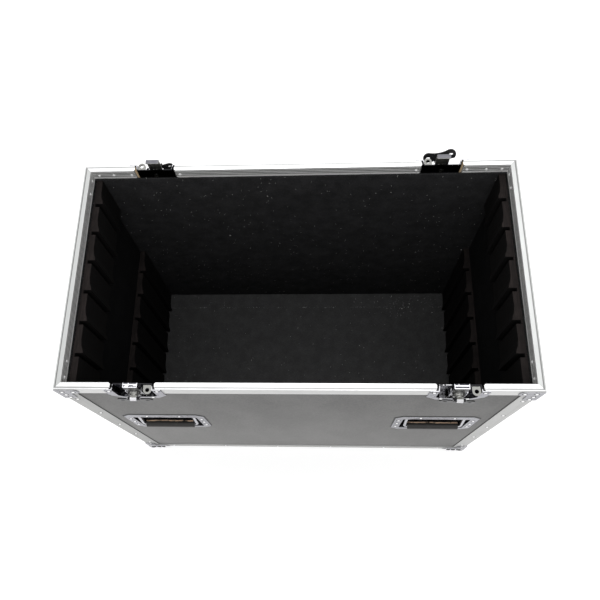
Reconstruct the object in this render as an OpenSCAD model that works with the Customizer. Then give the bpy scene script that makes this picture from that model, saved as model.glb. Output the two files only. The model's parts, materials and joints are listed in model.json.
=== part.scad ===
// Flight case base: plywood panels in aluminium extrusions, open at the top, with
// four butterfly latches, four recessed handles and slotted combs for dividers.
// Millimetres, +Z up, front handles towards -Y. The floor is at z = 0.

/* [Case] */
// Width of the case body over the extrusions
case_w = 800; // [700:10:1000]
// Depth of the case body over the extrusions
case_d = 430; // [400:10:520]
// Height of the case body from the bottom angles to the rim
case_h = 635; // [600:5:800]

/* [Walls] */
// Thickness of the plywood panels
ply_t = 9; // [8:0.5:12]
// Wall thickness of the aluminium extrusions
wall_t = 1.5; // [1.2:0.1:2]
// Thickness of the carpeted lining on the walls
lining_t = 3.3; // [2.6:0.1:5]
// Thickness of the floor mat
mat_t = 7.5; // [3:0.5:12]
// Gap between the rim's inner lip and the lining below it
lining_gap = 1; // [0.5:0.1:3]

/* [Rim] */
// Height of the rim's outer flange
rim_flange_h = 30; // [26:1:34]
// Height of the rim's inner lip
rim_lip_h = 24; // [23.5:0.5:28]
// Thickness of the web across the top of the rim
rim_web_t = 2; // [1.6:0.1:2.6]
// Width of the round bead along the rim's outer edge
bead_w = 2.6; // [2:0.1:3.2]
// Width of the groove between the bead and the flat top
groove_w = 1.4; // [1:0.1:2]
// Depth of the groove between the bead and the flat top
groove_d = 1; // [0.6:0.1:1.2]
// Number of ribs' grooves along the inner lip
lip_grooves = 3; // [2:1:4]
// Distance between the grooves of the inner lip
lip_groove_pitch = 5; // [4:0.5:5.5]
// Width of each groove of the inner lip
lip_groove_w = 1.4; // [1:0.1:2]
// Depth of each groove of the inner lip
lip_groove_d = 0.5; // [0.3:0.1:0.8]
// Size of the cut corners of the rim at each latch
rim_end_cut = 2.5; // [1.5:0.5:3]

/* [Angles and corners] */
// Leg length of the corner and bottom angles
angle_leg = 30; // [26:1:34]
// Radius of the rounded outer edge of the angles
angle_r = 2; // [1:0.25:3]
// Radius of the ball corners
ball_r = 15; // [14.8:0.1:16.5]
// Distance of the ball's centre inside each face
ball_in = 8.5; // [7.5:0.1:8.5]
// Depth of the flat on which each ball corner stands
ball_flat = 0.5; // [0.4:0.1:0.8]
// Reach of the ball corner's legs along the edges
ball_leg = 52; // [44:1:60]
// Width of the ball corner's legs
ball_leg_w = 22; // [18:0.5:25]
// Thickness of pressed steel plate on corners, latches and handles
plate_t = 1.5; // [1.2:0.1:2]
// Length of the corner brace's arm along the rim
brace_arm = 38; // [32:1:44]
// Length of the corner brace's arm down the corner angle
brace_drop = 56; // [48:1:64]
// Width of the corner brace's arms
brace_w = 22; // [18:0.5:25]
// Distance of the corner brace below the rim's top
brace_top = 5; // [3:0.5:7]

/* [Combs] */
// Thickness of the combs from the lining to the tooth face
comb_t = 11.9; // [10:0.1:16]
// Depth of the slots for the dividers
slot_d = 8.4; // [6:0.1:8.8]
// Width of the slots for the dividers
slot_w = 7; // [5:0.5:10]
// Height of the swelling at the front end of each tooth of the combs
comb_nose = 5.5; // [3:0.5:7]
// Length of that swelling along the tooth
comb_nose_l = 24; // [16:1:28]
// Number of slots in each comb
slot_count = 6; // [4:1:6]
// Distance between the slots
slot_pitch = 59; // [50:1:62]
// Distance of the upper combs' top edge below the rim's top
upper_comb_drop = 29; // [29:0.5:36]
// Height of the upper combs
upper_comb_h = 113; // [90:1:140]
// Height of the lower combs
lower_comb_h = 277; // [240:1:300]

/* [Latches] */
// Distance of each latch's centre line from the end of the case
latch_in = 133; // [120:1:180]
// Width of the cut through the rim and panel at each latch
latch_cut_w = 74.5; // [72:0.5:80]
// Depth of that cut below the rim's top
latch_cut_h = 50; // [50:0.5:54]
// Width of the latch dish's flange
latch_flange_w = 96; // [92:1:104]
// Height of the latch dish's flange below the rim's top
latch_flange_h = 64; // [62:1:76]
// Width of the latch dish's recess
latch_recess_w = 67; // [66:0.5:68.5]
// Narrowing of that recess on each side from its mouth to its back
latch_taper = 1.5; // [1:0.5:4]
// Depth of the latch dish's recess below the rim's top
latch_recess_h = 48; // [46:0.5:48]
// Distance of the latch hub's axis below the rim's top
hub_drop = 18.5; // [17.5:0.5:20]
// Offset of the hub's round cam from its axis
cam_e = 4; // [3.5:0.1:4.2]
// Radius of the hub's round cam
cam_r = 5.5; // [5:0.1:6.2]
// Radius of the hub's stem in the dish
stem_r = 3; // [2.5:0.1:3.5]
// Width of the hook arm
arm_w = 24; // [24:0.5:28]
// Thickness of the hook arm
arm_t = 2; // [1.6:0.1:2.4]
// Height of the hook's top above the rim with the latch open
hook_rise = 19; // [18:0.5:25]
// Depth of the hook's bent lip
hook_lip = 8.5; // [7:0.5:10]
// Distance of the wing's hinge pin in front of the case's face
wing_out = 11; // [10.5:0.1:13]
// Distance from the hub's axis to the centre of each lobe of the wing
lobe_x = 20; // [18.5:0.5:24]
// Radius of the lobes of the wing
lobe_r = 10; // [9:0.25:11]
// Thickness of the wing
wing_t = 2; // [1.6:0.1:2.4]
// Radius of the wing's hinge pin
wing_pin_r = 1.5; // [1.2:0.1:1.7]
// Distance of the padlock eye to the right of the hub
eye_x = 25.5; // [25:0.1:26]
// Radius of the padlock eye's hole
eye_r = 3.5; // [2.75:0.05:4]
// Radius of the padlock eye's round end
eye_end_r = 7; // [6.5:0.1:7.2]
// Turn of each latch from open, 180 when pulled down: front left and right, back left and right
hub_turn = [180, 170, 20, 17];
// Raise of each latch's wing from hanging flat, in the same order
wing_raise = [180, 180, 0, 150];

/* [Handles] */
// Distance of each handle's centre line from the end of the case
handle_in = 130; // [120:1:220]
// Distance of each handle's centre below the rim's top
handle_drop = 285; // [220:5:330]
// Width of the handle's plate
handle_w = 161; // [156:1:166]
// Height of the handle's plate
handle_h = 128; // [120:1:140]
// Width of the handle's recess
recess_w = 130; // [118:1:132]
// Height of the handle's recess
recess_h = 90; // [88:1:92]
// Distance of the recess's middle below the middle of the plate
recess_low = 4; // [3:0.5:5]
// Radius of the grip
grip_r = 8; // [7:0.25:10]
// Radius of the bends between the bail's arms and its cross rod
bail_bend = 5; // [4.5:0.25:8]
// Gap between the bail's arms and the sides of the recess
bail_gap = 5.5; // [2:0.5:6.5]
// Radius of the bail's rod
bail_r = 3.5; // [3:0.1:4]
// Radius of the bail's pivot pins
pivot_r = 2.5; // [2:0.1:2.9]
// Height of the bail's pivots above the middle of the plate
pivot_up = 34; // [30:0.5:36]
// Height of the grip below the bail's pivots
grip_down = 51; // [46:0.5:54]
// Distance of the grip's axis in front of the panel
grip_out = 2.5; // [2:0.1:5]

/* [Rivets] */
// Radius of the rivets' domed heads
rivet_r = 3; // [2.4:0.1:3.4]
// Height of the rivets' domed heads
rivet_h = 1.2; // [0.8:0.1:1.8]
// Largest distance between rivets along the angles
rivet_step = 160; // [120:10:220]

/* [Hidden] */
$fn = 48;
fine_fn = 32;
// Running clearance in bores and between turning pieces
bore_gap = 0.05;
run_gap = 0.3;

// Depths behind the outer face of the extrusions
ply_in = wall_t + ply_t;
rim_t = ply_in + wall_t;
lining_in = ply_in + lining_t;

// Heights
foot_h = ball_r - ball_in - ball_flat;
rim_z = foot_h + case_h;
panel_z = foot_h + wall_t;
floor_z = foot_h + ply_in;
mat_top = floor_z + mat_t;

// Rim profile
bead_r = bead_w / 2;
land_start = bead_w + groove_w;
land_bevel = 0.5;
flange_bevel = 0.5;
first_groove = 6;

// Cut corners and inner corners of the ball corners' legs and of the corner braces
leaf_nose = 8;
leaf_cut = 6;
leaf_root = 4;
brace_cut = 5;
brace_root = 3;

// Latch: x to the right seen from outside, y into the case, z up from the rim
dish_in = ply_in - plate_t;
flange_top = -0.6;
flange_side_h = 45;
flange_foot_w = 60;
recess_bevel = 8;
flange_step = 2;
arm_back = dish_in - 6.7;
arm_front = arm_back - arm_t;
collar_r = 4.8;
stem_head_r = 4.5;
stem_head_t = 0.8;
hub_disc_r = cam_e + cam_r + 0.8;
hub_disc_t = 5;
hub_neck_r = 7;
hub_front = arm_front - run_gap - hub_disc_t;
tongue_w = 11;
tongue_r = 4.5;
tongue_neck = tongue_r - 0.8;
tongue_root = wing_out - tongue_r + 0.5;
knuckle_r = wing_pin_r + 1.1;
knuckle_l = 4.6;
pin_half = tongue_w / 2 + knuckle_l + 1.2;
lobe_z = -(lobe_r - 0.5);
waist_free = 3.5;
waist_hinge = 4;
notch_depth = tongue_r + 0.7;
lobe_slot_l = 7;
lobe_slot_w = 4;
lobe_slot_x = lobe_x + 1;
// Largest lift of a crank over a motion in step with its turn, as a share of the crank
crank_lift = 0.2105;
window_half_h = cam_r + crank_lift * cam_e + run_gap * 0.7;
window_half_w = cam_e + cam_r + run_gap;
arm_travel = 2 * cam_e;
arm_foot = 5.5;
guide_t = 1.5;
guide_h = 21;
guide_top = 12;
eye_t = 2.5;
eye_drop = 4;
eye_w = 2 * eye_end_r;

// Handle: x to the right, y into the case from the panel's face, z up from its centre
handle_bevel = 14;
recess_corner = 3;
pan_depth = ply_t;
pocket_gap = 0.3;
pan_gap = 1.2;
bail_x = recess_w / 2 - bail_r - bail_gap;
pivot_y = pan_depth - bail_r - 1.5;
pivot_end = recess_w / 2 + plate_t + 1.5;
grip_l = 2 * (bail_x - bail_bend);
eye_wall = 1;
grip_end_r = 2.5;

// Rivets
dome_r = (rivet_r * rivet_r + rivet_h * rivet_h) / (2 * rivet_h);
// Places on a corner brace: across from the case's edge, down from the brace's top
brace_holes = [[10, 11], [29, 11], [10, 30], [11, 48]];
rivet_margin = 14;
rivet_inset = 9;
lip_rivet_first = 12;
lip_rivet_pair = 28;
lip_rivet_drop = 14;
ear_rivet_out = 7;
ear_rivet_drop = 9;
foot_rivet_in = 8;
foot_rivet_up = 7;

// Side 0 is the front and side 1 the back: x to the right, y into the case
module on_face(side)
  rotate([0, 0, 180 * side])
    translate([0, -case_d / 2, 0])
      children();

// End 0 is the left and end 1 the right: x along the end, y into the case
module on_end(side)
  rotate([0, 0, side == 0 ? -90 : 90])
    translate([0, -case_w / 2, 0])
      children();

// Corners 0 to 3 are front left, front right, back left and back right
module at_corner(i)
  mirror([i % 2, 0, 0])
    mirror([0, floor(i / 2), 0])
      translate([-case_w / 2, -case_d / 2, 0])
        children();

// Places 0 to 3 go round in the same order; a back one is turned, not mirrored
function is_back(i) = floor(i / 2);
function along(i, inset) = (i % 2 == 0 ? -1 : 1) * (is_back(i) == 0 ? 1 : -1) * (case_w / 2 - inset);

module at_latch(i)
  on_face(is_back(i))
    translate([along(i, latch_in), 0, rim_z])
      children();

module at_handle(i)
  on_face(is_back(i))
    translate([along(i, handle_in), wall_t, rim_z - handle_drop])
      children();

// A profile in depth and height, drawn out along x
module along_x(length)
  translate([-length / 2, 0, 0])
    rotate([90, 0, 90])
      linear_extrude(length)
        children();

// A plan outline seen from outside, drawn from depth a to depth b
module into_wall(a, b)
  translate([0, b, 0])
    rotate([90, 0, 0])
      linear_extrude(b - a)
        children();

// Plan prism whose ends are cut at 45 degrees from the outer corners
module mitre(length, depth, low, high)
  translate([0, 0, low])
    linear_extrude(high - low)
      polygon([
        [-length / 2, 0],
        [length / 2, 0],
        [length / 2 - depth, depth],
        [-length / 2 + depth, depth]
      ]);

// Rectangle with its corners cut off
module bevelled(w, h, bevel)
  polygon([
    [-w / 2 + bevel, -h / 2],
    [w / 2 - bevel, -h / 2],
    [w / 2, -h / 2 + bevel],
    [w / 2, h / 2 - bevel],
    [w / 2 - bevel, h / 2],
    [-w / 2 + bevel, h / 2],
    [-w / 2, h / 2 - bevel],
    [-w / 2, -h / 2 + bevel]
  ]);

module panel_blank(half_len)
  translate([-half_len, wall_t, panel_z])
    cube([2 * half_len, ply_t, rim_z - rim_web_t - panel_z]);

module latch_cuts(side, depth)
  for (i = [2 * side, 2 * side + 1])
    translate([along(i, latch_in) - latch_cut_w / 2, -1, rim_z - latch_cut_h])
      cube([latch_cut_w, depth + 2, latch_cut_h + 1]);

// Square openings for the two handle pans of one side, from depth a to depth b
module handle_cuts(side, a, b)
  for (i = [2 * side, 2 * side + 1])
    translate([along(i, handle_in), (a + b) / 2, rim_z - handle_drop - recess_low])
      cube([recess_w + 2 * (plate_t + pan_gap + 1), b - a, recess_h + 2 * (plate_t + pan_gap)], center = true);

module panel_long(side)
  color("dimgray")
    on_face(side)
      difference() {
        panel_blank(case_w / 2 - wall_t);
        latch_cuts(side, ply_in);
        handle_cuts(side, 0, ply_in + 1);
      }

module panel_end(side)
  color("dimgray")
    on_end(side)
      panel_blank(case_d / 2 - ply_in);

module panel_bottom()
  color("dimgray")
    translate([-case_w / 2 + ply_in, -case_d / 2 + ply_in, panel_z])
      cube([case_w - 2 * ply_in, case_d - 2 * ply_in, ply_t]);

module lining_blank(half_len)
  translate([-half_len, ply_in, floor_z])
    cube([2 * half_len, lining_t, rim_z - rim_lip_h - lining_gap - floor_z]);

// The handle pans stand out of the plywood into pockets of the lining
module lining_long(side)
  color([0.1, 0.1, 0.11])
    on_face(side)
      difference() {
        lining_blank(case_w / 2 - ply_in);
        handle_cuts(side, ply_in - 1, ply_in + plate_t + pocket_gap);
      }

module lining_end(side)
  color([0.1, 0.1, 0.11])
    on_end(side)
      lining_blank(case_d / 2 - lining_in);

module floor_mat()
  color([0.16, 0.16, 0.17])
    translate([-case_w / 2 + lining_in, -case_d / 2 + lining_in, floor_z])
      cube([case_w - 2 * lining_in, case_d - 2 * lining_in, mat_t]);

// Plan of the swelling of a tooth that ends at x = 0, standing on its face at y = 0
module comb_nose_plan()
  polygon([
    [-comb_nose_l, -1],
    [-comb_nose_l, 0],
    [-comb_nose_l / 2, comb_nose * 0.35],
    [-comb_nose_l / 4, comb_nose * 0.8],
    [0, comb_nose],
    [0, -1]
  ]);

// A strip along the end wall with upright slots, spaced evenly about its middle, front at +x
module comb(side, low, high)
  color([0.14, 0.12, 0.12])
    on_end(side)
      mirror([side, 0, 0])
        translate([0, lining_in, low])
          difference() {
            union() {
              translate([-case_d / 2 + lining_in, 0, 0])
                cube([case_d - 2 * lining_in, comb_t, high - low]);
              for (k = [0 : slot_count - 1])
                translate([slot_x(k), comb_t, 0])
                  linear_extrude(high - low)
                    comb_nose_plan();
            }
            for (k = [0 : slot_count - 1])
              translate([slot_x(k), comb_t - slot_d, -1])
                cube([slot_w, slot_d + 1, high - low + 2]);
          }

function slot_x(k) = (k - (slot_count - 1) / 2) * slot_pitch - slot_w / 2;

module comb_upper(side)
  comb(side, rim_z - upper_comb_drop - upper_comb_h, rim_z - upper_comb_drop);

module comb_lower(side)
  comb(side, mat_top, mat_top + lower_comb_h);

// Section through the rim: depth from the outer face, height from the top
module rim_profile()
  difference() {
    union() {
      translate([0, -rim_flange_h + flange_bevel])
        square([wall_t, rim_flange_h - flange_bevel - bead_r]);
      polygon([
        [flange_bevel, -rim_flange_h],
        [wall_t, -rim_flange_h],
        [wall_t, -rim_flange_h + flange_bevel],
        [0, -rim_flange_h + flange_bevel]
      ]);
      translate([bead_r, -bead_r])
        circle(bead_r);
      translate([0, -rim_web_t])
        square([rim_t - land_bevel, rim_web_t - bead_r]);
      translate([bead_r, -rim_web_t])
        square([rim_t - bead_r - land_bevel, rim_web_t - groove_d]);
      polygon([
        [land_start, -groove_d - 0.1],
        [rim_t, -groove_d - 0.1],
        [rim_t, -land_bevel],
        [rim_t - land_bevel, 0],
        [land_start + land_bevel, 0],
        [land_start, -land_bevel]
      ]);
      translate([rim_t - wall_t, -rim_lip_h])
        square([wall_t, rim_lip_h - land_bevel]);
    }
    for (k = [0 : lip_grooves - 1])
      translate([rim_t - lip_groove_d, -first_groove - k * lip_groove_pitch - lip_groove_w])
        square([lip_groove_d + 1, lip_groove_w]);
    // Channel that takes the edge of the panel
    translate([wall_t, -rim_flange_h - 1])
      square([ply_t, rim_flange_h + 1 - rim_web_t]);
  }

module rim_bar(length)
  translate([0, 0, rim_z])
    intersection() {
      along_x(length) rim_profile();
      mitre(length, rim_t + 1, -rim_flange_h - 1, 1);
    }

// Plan of the rim's gap at a latch, wider at both edges of the rim
module rim_gap_plan() {
  half = latch_cut_w / 2;
  for (s = [0, 1])
    mirror([s, 0])
      polygon([
        [-1, -1],
        [half + rim_end_cut, -1],
        [half + rim_end_cut, 0],
        [half, rim_end_cut],
        [half, rim_t - rim_end_cut],
        [half + rim_end_cut, rim_t],
        [half + rim_end_cut, rim_t + 1],
        [-1, rim_t + 1]
      ]);
}

// The long rims are cut into three at the two latches
module rim_long(side)
  color("lightgray")
    on_face(side)
      difference() {
        rim_bar(case_w);
        for (i = [2 * side, 2 * side + 1])
          translate([along(i, latch_in), 0, rim_z - latch_cut_h])
            linear_extrude(latch_cut_h + 1)
              rim_gap_plan();
      }

module rim_end(side)
  color("lightgray")
    on_end(side)
      rim_bar(case_d);

// Equal angle with a rounded outer edge, its outer faces along both axes
module angle_profile()
  difference() {
    union() {
      translate([angle_r, 0]) square([angle_leg - angle_r, wall_t]);
      translate([0, angle_r]) square([wall_t, angle_leg - angle_r]);
      intersection() {
        translate([angle_r, angle_r]) circle(angle_r);
        square(angle_r);
      }
      translate([min(angle_r, wall_t) / 2, min(angle_r, wall_t) / 2])
        square([angle_r, angle_r]);
    }
    translate([wall_t, wall_t]) square(angle_leg);
  }

module corner_angle(i)
  color("silver")
    at_corner(i)
      translate([0, 0, foot_h + angle_leg])
        linear_extrude(case_h - angle_leg - rim_flange_h)
          angle_profile();

module bottom_angle_bar(length)
  translate([0, 0, foot_h])
    intersection() {
      along_x(length) angle_profile();
      mitre(length, angle_leg + 1, -1, angle_leg + 1);
    }

module bottom_angle_long(side)
  color("silver")
    on_face(side)
      bottom_angle_bar(case_w);

module bottom_angle_end(side)
  color("silver")
    on_end(side)
      bottom_angle_bar(case_d);

// Leg plate of a ball corner: two arms along the edges from the corner
module ball_leaf()
  polygon([
    [-plate_t, -plate_t],
    [ball_leg - leaf_nose, -plate_t],
    [ball_leg, leaf_cut],
    [ball_leg, ball_leg_w - leaf_cut],
    [ball_leg - leaf_cut, ball_leg_w],
    [ball_leg_w + leaf_root, ball_leg_w],
    [ball_leg_w, ball_leg_w + leaf_root],
    [ball_leg_w, ball_leg - leaf_cut],
    [ball_leg_w - leaf_cut, ball_leg],
    [leaf_cut, ball_leg],
    [-plate_t, ball_leg - leaf_nose]
  ]);

module ball_corner(i)
  color("gainsboro")
    at_corner(i)
      intersection() {
        translate([0, 0, foot_h])
          difference() {
            union() {
              translate([ball_in, ball_in, ball_in]) sphere(ball_r, $fn = 64);
              translate([0, 0, -plate_t]) linear_extrude(plate_t) ball_leaf();
              translate([0, 0, 0]) rotate([90, 0, 0]) linear_extrude(plate_t) ball_leaf();
              rotate([90, 0, 90]) translate([0, 0, -plate_t]) linear_extrude(plate_t) ball_leaf();
            }
            cube([case_w, case_d, case_h]);
          }
        translate([-ball_r, -ball_r, 0])
          cube(2 * ball_r + ball_leg);
      }

// One side of a corner brace, its corner at the case's edge, z down from the rim
module brace_leaf()
  polygon([
    [-plate_t, -brace_top],
    [brace_arm - brace_cut, -brace_top],
    [brace_arm, -brace_top - brace_cut],
    [brace_arm, -brace_top - brace_w + brace_cut],
    [brace_arm - brace_cut, -brace_top - brace_w],
    [brace_w + brace_root, -brace_top - brace_w],
    [brace_w, -brace_top - brace_w - brace_root],
    [brace_w, -brace_top - brace_drop + brace_cut],
    [brace_w - brace_cut, -brace_top - brace_drop],
    [-plate_t, -brace_top - brace_drop]
  ]);

module corner_brace(i)
  at_corner(i)
    translate([0, 0, rim_z])
      union() {
        into_wall(-plate_t, 0) brace_leaf();
        mirror([1, -1, 0]) into_wall(-plate_t, 0) brace_leaf();
      }

module corner_braces()
  color("gainsboro")
    for (i = [0 : 3]) corner_brace(i);

// Latch dish: flange over the extrusion and panel, open recess behind it
module latch_flange_outline()
  polygon([
    [-latch_flange_w / 2, flange_top],
    [-latch_flange_w / 2, -flange_side_h],
    [-flange_foot_w / 2, -latch_flange_h],
    [flange_foot_w / 2, -latch_flange_h],
    [latch_flange_w / 2, -flange_side_h],
    [latch_flange_w / 2, flange_top]
  ]);

module latch_recess_outline(grow, top)
  polygon([
    [-latch_recess_w / 2 - grow, top],
    [-latch_recess_w / 2 - grow, -latch_recess_h + recess_bevel - grow],
    [-latch_recess_w / 2 + recess_bevel - grow, -latch_recess_h - grow],
    [latch_recess_w / 2 - recess_bevel + grow, -latch_recess_h - grow],
    [latch_recess_w / 2 + grow, -latch_recess_h + recess_bevel - grow],
    [latch_recess_w / 2 + grow, top]
  ]);

// Plan prism whose sides draw in from the mouth of the recess to its back
module latch_taper_prism(grow) {
  front = latch_recess_w / 2 + grow + latch_taper * (plate_t + 1) / dish_in;
  back = latch_recess_w / 2 + grow - latch_taper * (ply_in + 1) / dish_in;
  translate([0, 0, -latch_recess_h - plate_t - 1])
    linear_extrude(latch_recess_h + plate_t + 3)
      polygon([
        [-front, -plate_t - 1],
        [front, -plate_t - 1],
        [back, ply_in + 1],
        [-back, ply_in + 1]
      ]);
}

module height_band(low, high)
  translate([-latch_flange_w, low])
    square([2 * latch_flange_w, high - low]);

module latch_dish(i) {
  step_z = -rim_flange_h - run_gap;
  color("gainsboro")
    at_latch(i)
      difference() {
        union() {
          into_wall(-plate_t, 0)
            intersection() {
              latch_flange_outline();
              height_band(step_z - flange_step, 0);
            }
          into_wall(-plate_t, wall_t)
            intersection() {
              latch_flange_outline();
              height_band(step_z - flange_step, step_z);
            }
          into_wall(wall_t - plate_t, wall_t)
            intersection() {
              latch_flange_outline();
              height_band(-latch_flange_h, step_z);
            }
          intersection() {
            into_wall(-plate_t, ply_in) latch_recess_outline(plate_t, flange_top);
            latch_taper_prism(plate_t);
          }
        }
        intersection() {
          union() {
            into_wall(-plate_t - 1, dish_in)
              difference() {
                latch_recess_outline(0, 1);
                for (s = [-1, 1])
                  translate([s * (arm_w / 2 + run_gap + guide_t / 2) - guide_t / 2, -guide_top - guide_h])
                    square([guide_t, guide_h]);
              }
            into_wall(-plate_t - 1, arm_front - 1)
              latch_recess_outline(0, 1);
          }
          latch_taper_prism(0);
        }
        translate([0, 0, -hub_drop])
          rotate([-90, 0, 0])
            cylinder(h = 2 * ply_in, r = stem_r + bore_gap);
      }
  color("gainsboro")
    at_latch(i)
      padlock_eye();
}

// Flat tab from the back of the recess, with a round drilled end in front of the face
module padlock_eye()
  translate([eye_x, 0, -eye_drop - eye_t])
    linear_extrude(eye_t)
      difference() {
        union() {
          translate([-eye_w / 2, 0]) square([eye_w, dish_in + plate_t / 2]);
          circle(eye_end_r);
        }
        circle(eye_r);
      }

// The front latches close turning left about the outward axis, the back ones right
function turn_of(i) = (is_back(i) == 0 ? -1 : 1) * hub_turn[i];

module at_hub(i)
  at_latch(i)
    translate([0, 0, -hub_drop])
      rotate([0, turn_of(i), 0])
        children();

// A round bar along y from depth a to depth b
module y_bar(r, a, b)
  translate([0, a, 0])
    rotate([-90, 0, 0])
      cylinder(h = b - a, r = r);

// A round bar along x, centred
module x_bar(r, half_len)
  rotate([0, 90, 0])
    cylinder(h = 2 * half_len, r = r, center = true);

// Stem, cam and disc on one axis, with the tongue that carries the wing's pin
module latch_hub(i)
  color("silver")
    at_hub(i) {
      y_bar(stem_r, dish_in - 1, ply_in + run_gap + stem_head_t / 2);
      y_bar(stem_head_r, ply_in + run_gap, ply_in + run_gap + stem_head_t);
      y_bar(collar_r, arm_back + run_gap, dish_in - run_gap);
      translate([0, 0, cam_e]) y_bar(cam_r, arm_front - run_gap, arm_back + run_gap);
      y_bar(hub_disc_r, hub_front, arm_front - run_gap);
      y_bar(hub_neck_r, -tongue_root, hub_front);
      translate([-tongue_w / 2, -wing_out, -tongue_neck])
        cube([tongue_w, wing_out - tongue_root + 1, 2 * tongue_neck]);
      translate([0, -wing_out, 0]) x_bar(tongue_r, tongue_w / 2);
      translate([0, -wing_out, 0]) x_bar(wing_pin_r, pin_half);
    }

// Radius of an arc that dips by p between two lobes and runs smoothly into both
function waist_r(p) = (lobe_x * lobe_x + (lobe_r - p) * (lobe_r - p) - lobe_r * lobe_r) / (2 * p);

// Centred on the middle of the wing: one lobe each side and a drawn-in waist
module wing_outline() {
  smooth_x = lobe_x * waist_r(waist_free) / (waist_r(waist_free) + lobe_r);
  for (s = [-1, 1]) translate([s * lobe_x, 0]) circle(lobe_r);
  difference() {
    square([2 * smooth_x, 2 * lobe_r], center = true);
    translate([0, -(lobe_r - waist_free + waist_r(waist_free))])
      circle(waist_r(waist_free), $fn = 128);
    translate([0, lobe_r - waist_hinge + waist_r(waist_hinge)])
      circle(waist_r(waist_hinge), $fn = 128);
  }
}

// A slot with round ends
module lobe_slot()
  union() {
    square([lobe_slot_l - lobe_slot_w, lobe_slot_w], center = true);
    for (s = [-1, 1])
      translate([s * (lobe_slot_l - lobe_slot_w) / 2, 0])
        circle(lobe_slot_w / 2);
  }

module latch_wing(i)
  color([0.07, 0.07, 0.08])
    at_hub(i)
      translate([0, -wing_out, 0])
        rotate([-wing_raise[i], 0, 0])
          difference() {
            union() {
              into_wall(-wing_t / 2, wing_t / 2)
                translate([0, lobe_z])
                  difference() {
                    wing_outline();
                    for (s = [-1, 1]) translate([s * lobe_slot_x, 0]) lobe_slot();
                  }
              for (s = [-1, 1])
                translate([s * (tongue_w / 2 + run_gap + knuckle_l / 2), 0, 0]) {
                  x_bar(knuckle_r, knuckle_l / 2);
                  translate([-knuckle_l / 2, -wing_t / 2, -notch_depth - 1])
                    cube([knuckle_l, wing_t, notch_depth + 1]);
                }
            }
            x_bar(wing_pin_r + bore_gap, lobe_x + lobe_r);
            translate([-tongue_w / 2 - run_gap, -tongue_r, -notch_depth])
              cube([tongue_w + 2 * run_gap, 2 * tongue_r, 2 * notch_depth]);
          }

// Flat arm with a bent hook on top and a cross window for the cam
module hook_arm(i) {
  cam_z = cam_e - hub_drop;
  color("silver")
    at_latch(i)
      translate([0, 0, -arm_travel * hub_turn[i] / 180])
        union() {
          into_wall(arm_front, arm_back)
            difference() {
              translate([-arm_w / 2, cam_z - window_half_h - arm_foot])
                square([arm_w, hook_rise - cam_z + window_half_h + arm_foot]);
              translate([0, cam_z])
                union() {
                  square([2 * (window_half_w - window_half_h), 2 * window_half_h], center = true);
                  for (s = [-1, 1])
                    translate([s * (window_half_w - window_half_h), 0])
                      circle(window_half_h);
                }
            }
          along_x(arm_w)
            translate([arm_front, hook_rise - arm_t])
              square([hook_lip - arm_t / 2, arm_t]);
          translate([0, arm_front + hook_lip - arm_t / 2, hook_rise - arm_t / 2])
            x_bar(arm_t / 2, arm_w / 2);
        }
}

// Handle dish: bevelled plate on the panel, pan through it with bores for the pivots
module handle_dish(i)
  color("gainsboro")
    at_handle(i)
      difference() {
        union() {
          into_wall(-plate_t, 0) bevelled(handle_w, handle_h, handle_bevel);
          translate([0, 0, -recess_low])
            into_wall(-plate_t, pan_depth + plate_t)
              bevelled(recess_w + 2 * plate_t, recess_h + 2 * plate_t, recess_corner);
        }
        translate([0, 0, -recess_low])
          into_wall(-plate_t - 1, pan_depth) bevelled(recess_w, recess_h, recess_corner);
        translate([0, pivot_y, pivot_up]) x_bar(pivot_r + bore_gap, pivot_end);
      }

// Rod bail, hanging from its pivots: two pins, two eyes, two arms, two bends, one cross rod
module handle_bail(i) {
  arm_l = norm([pivot_y + grip_out, grip_down]);
  lean = atan2(pivot_y + grip_out, grip_down);
  color("silver")
    at_handle(i)
      translate([0, pivot_y, pivot_up])
        rotate([-lean, 0, 0]) {
          for (s = [0, 1])
            mirror([s, 0, 0]) {
              translate([(bail_x + pivot_end) / 2, 0, 0])
                x_bar(pivot_r, (pivot_end - bail_x) / 2);
              translate([bail_x, 0, 0])
                x_bar(bail_r + eye_wall, bail_r);
              translate([bail_x, 0, bail_bend - arm_l])
                cylinder(h = arm_l - bail_bend, r = bail_r);
              translate([bail_x - bail_bend, 0, bail_bend - arm_l])
                rotate([90, 0, 0])
                  rotate([0, 0, -90])
                    rotate_extrude(angle = 90)
                      translate([bail_bend, 0])
                        circle(bail_r);
            }
          translate([0, 0, -arm_l])
            x_bar(bail_r, bail_x - bail_bend);
        }
}

// Rubber sleeve with rounded ends on the cross rod
module handle_grip(i)
  color([0.08, 0.08, 0.08])
    at_handle(i)
      translate([-grip_l / 2, -grip_out, pivot_up - grip_down])
        rotate([90, 0, 90])
          rotate_extrude()
            difference() {
              union() {
                square([grip_r - grip_end_r, grip_l]);
                translate([0, grip_end_r]) square([grip_r, grip_l - 2 * grip_end_r]);
                for (z = [grip_end_r, grip_l - grip_end_r])
                  translate([grip_r - grip_end_r, z]) circle(grip_end_r, $fn = fine_fn);
              }
              translate([-1, -1]) square([bail_r + bore_gap + 1, grip_l + 2]);
            }

// Domed rivet head standing on the plane at depth y, out of the case
module rivet_out(x, z, y = 0)
  translate([x, y, z])
    rotate([90, 0, 0])
      intersection() {
        cylinder(h = rivet_h, r = rivet_r, $fn = fine_fn);
        translate([0, 0, rivet_h - dome_r]) sphere(dome_r, $fn = fine_fn);
      }

// The same rivet on the inner lip of the rim, into the case
module rivet_in(x, z)
  translate([x, rim_t, z])
    rotate([0, 0, 180])
      rivet_out(0, 0);

// Even places from low to high, no further apart than the rivet step
function spread(low, high) =
  let (n = ceil((high - low) / rivet_step))
    [for (k = [0 : n]) low + k * (high - low) / n];

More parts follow.
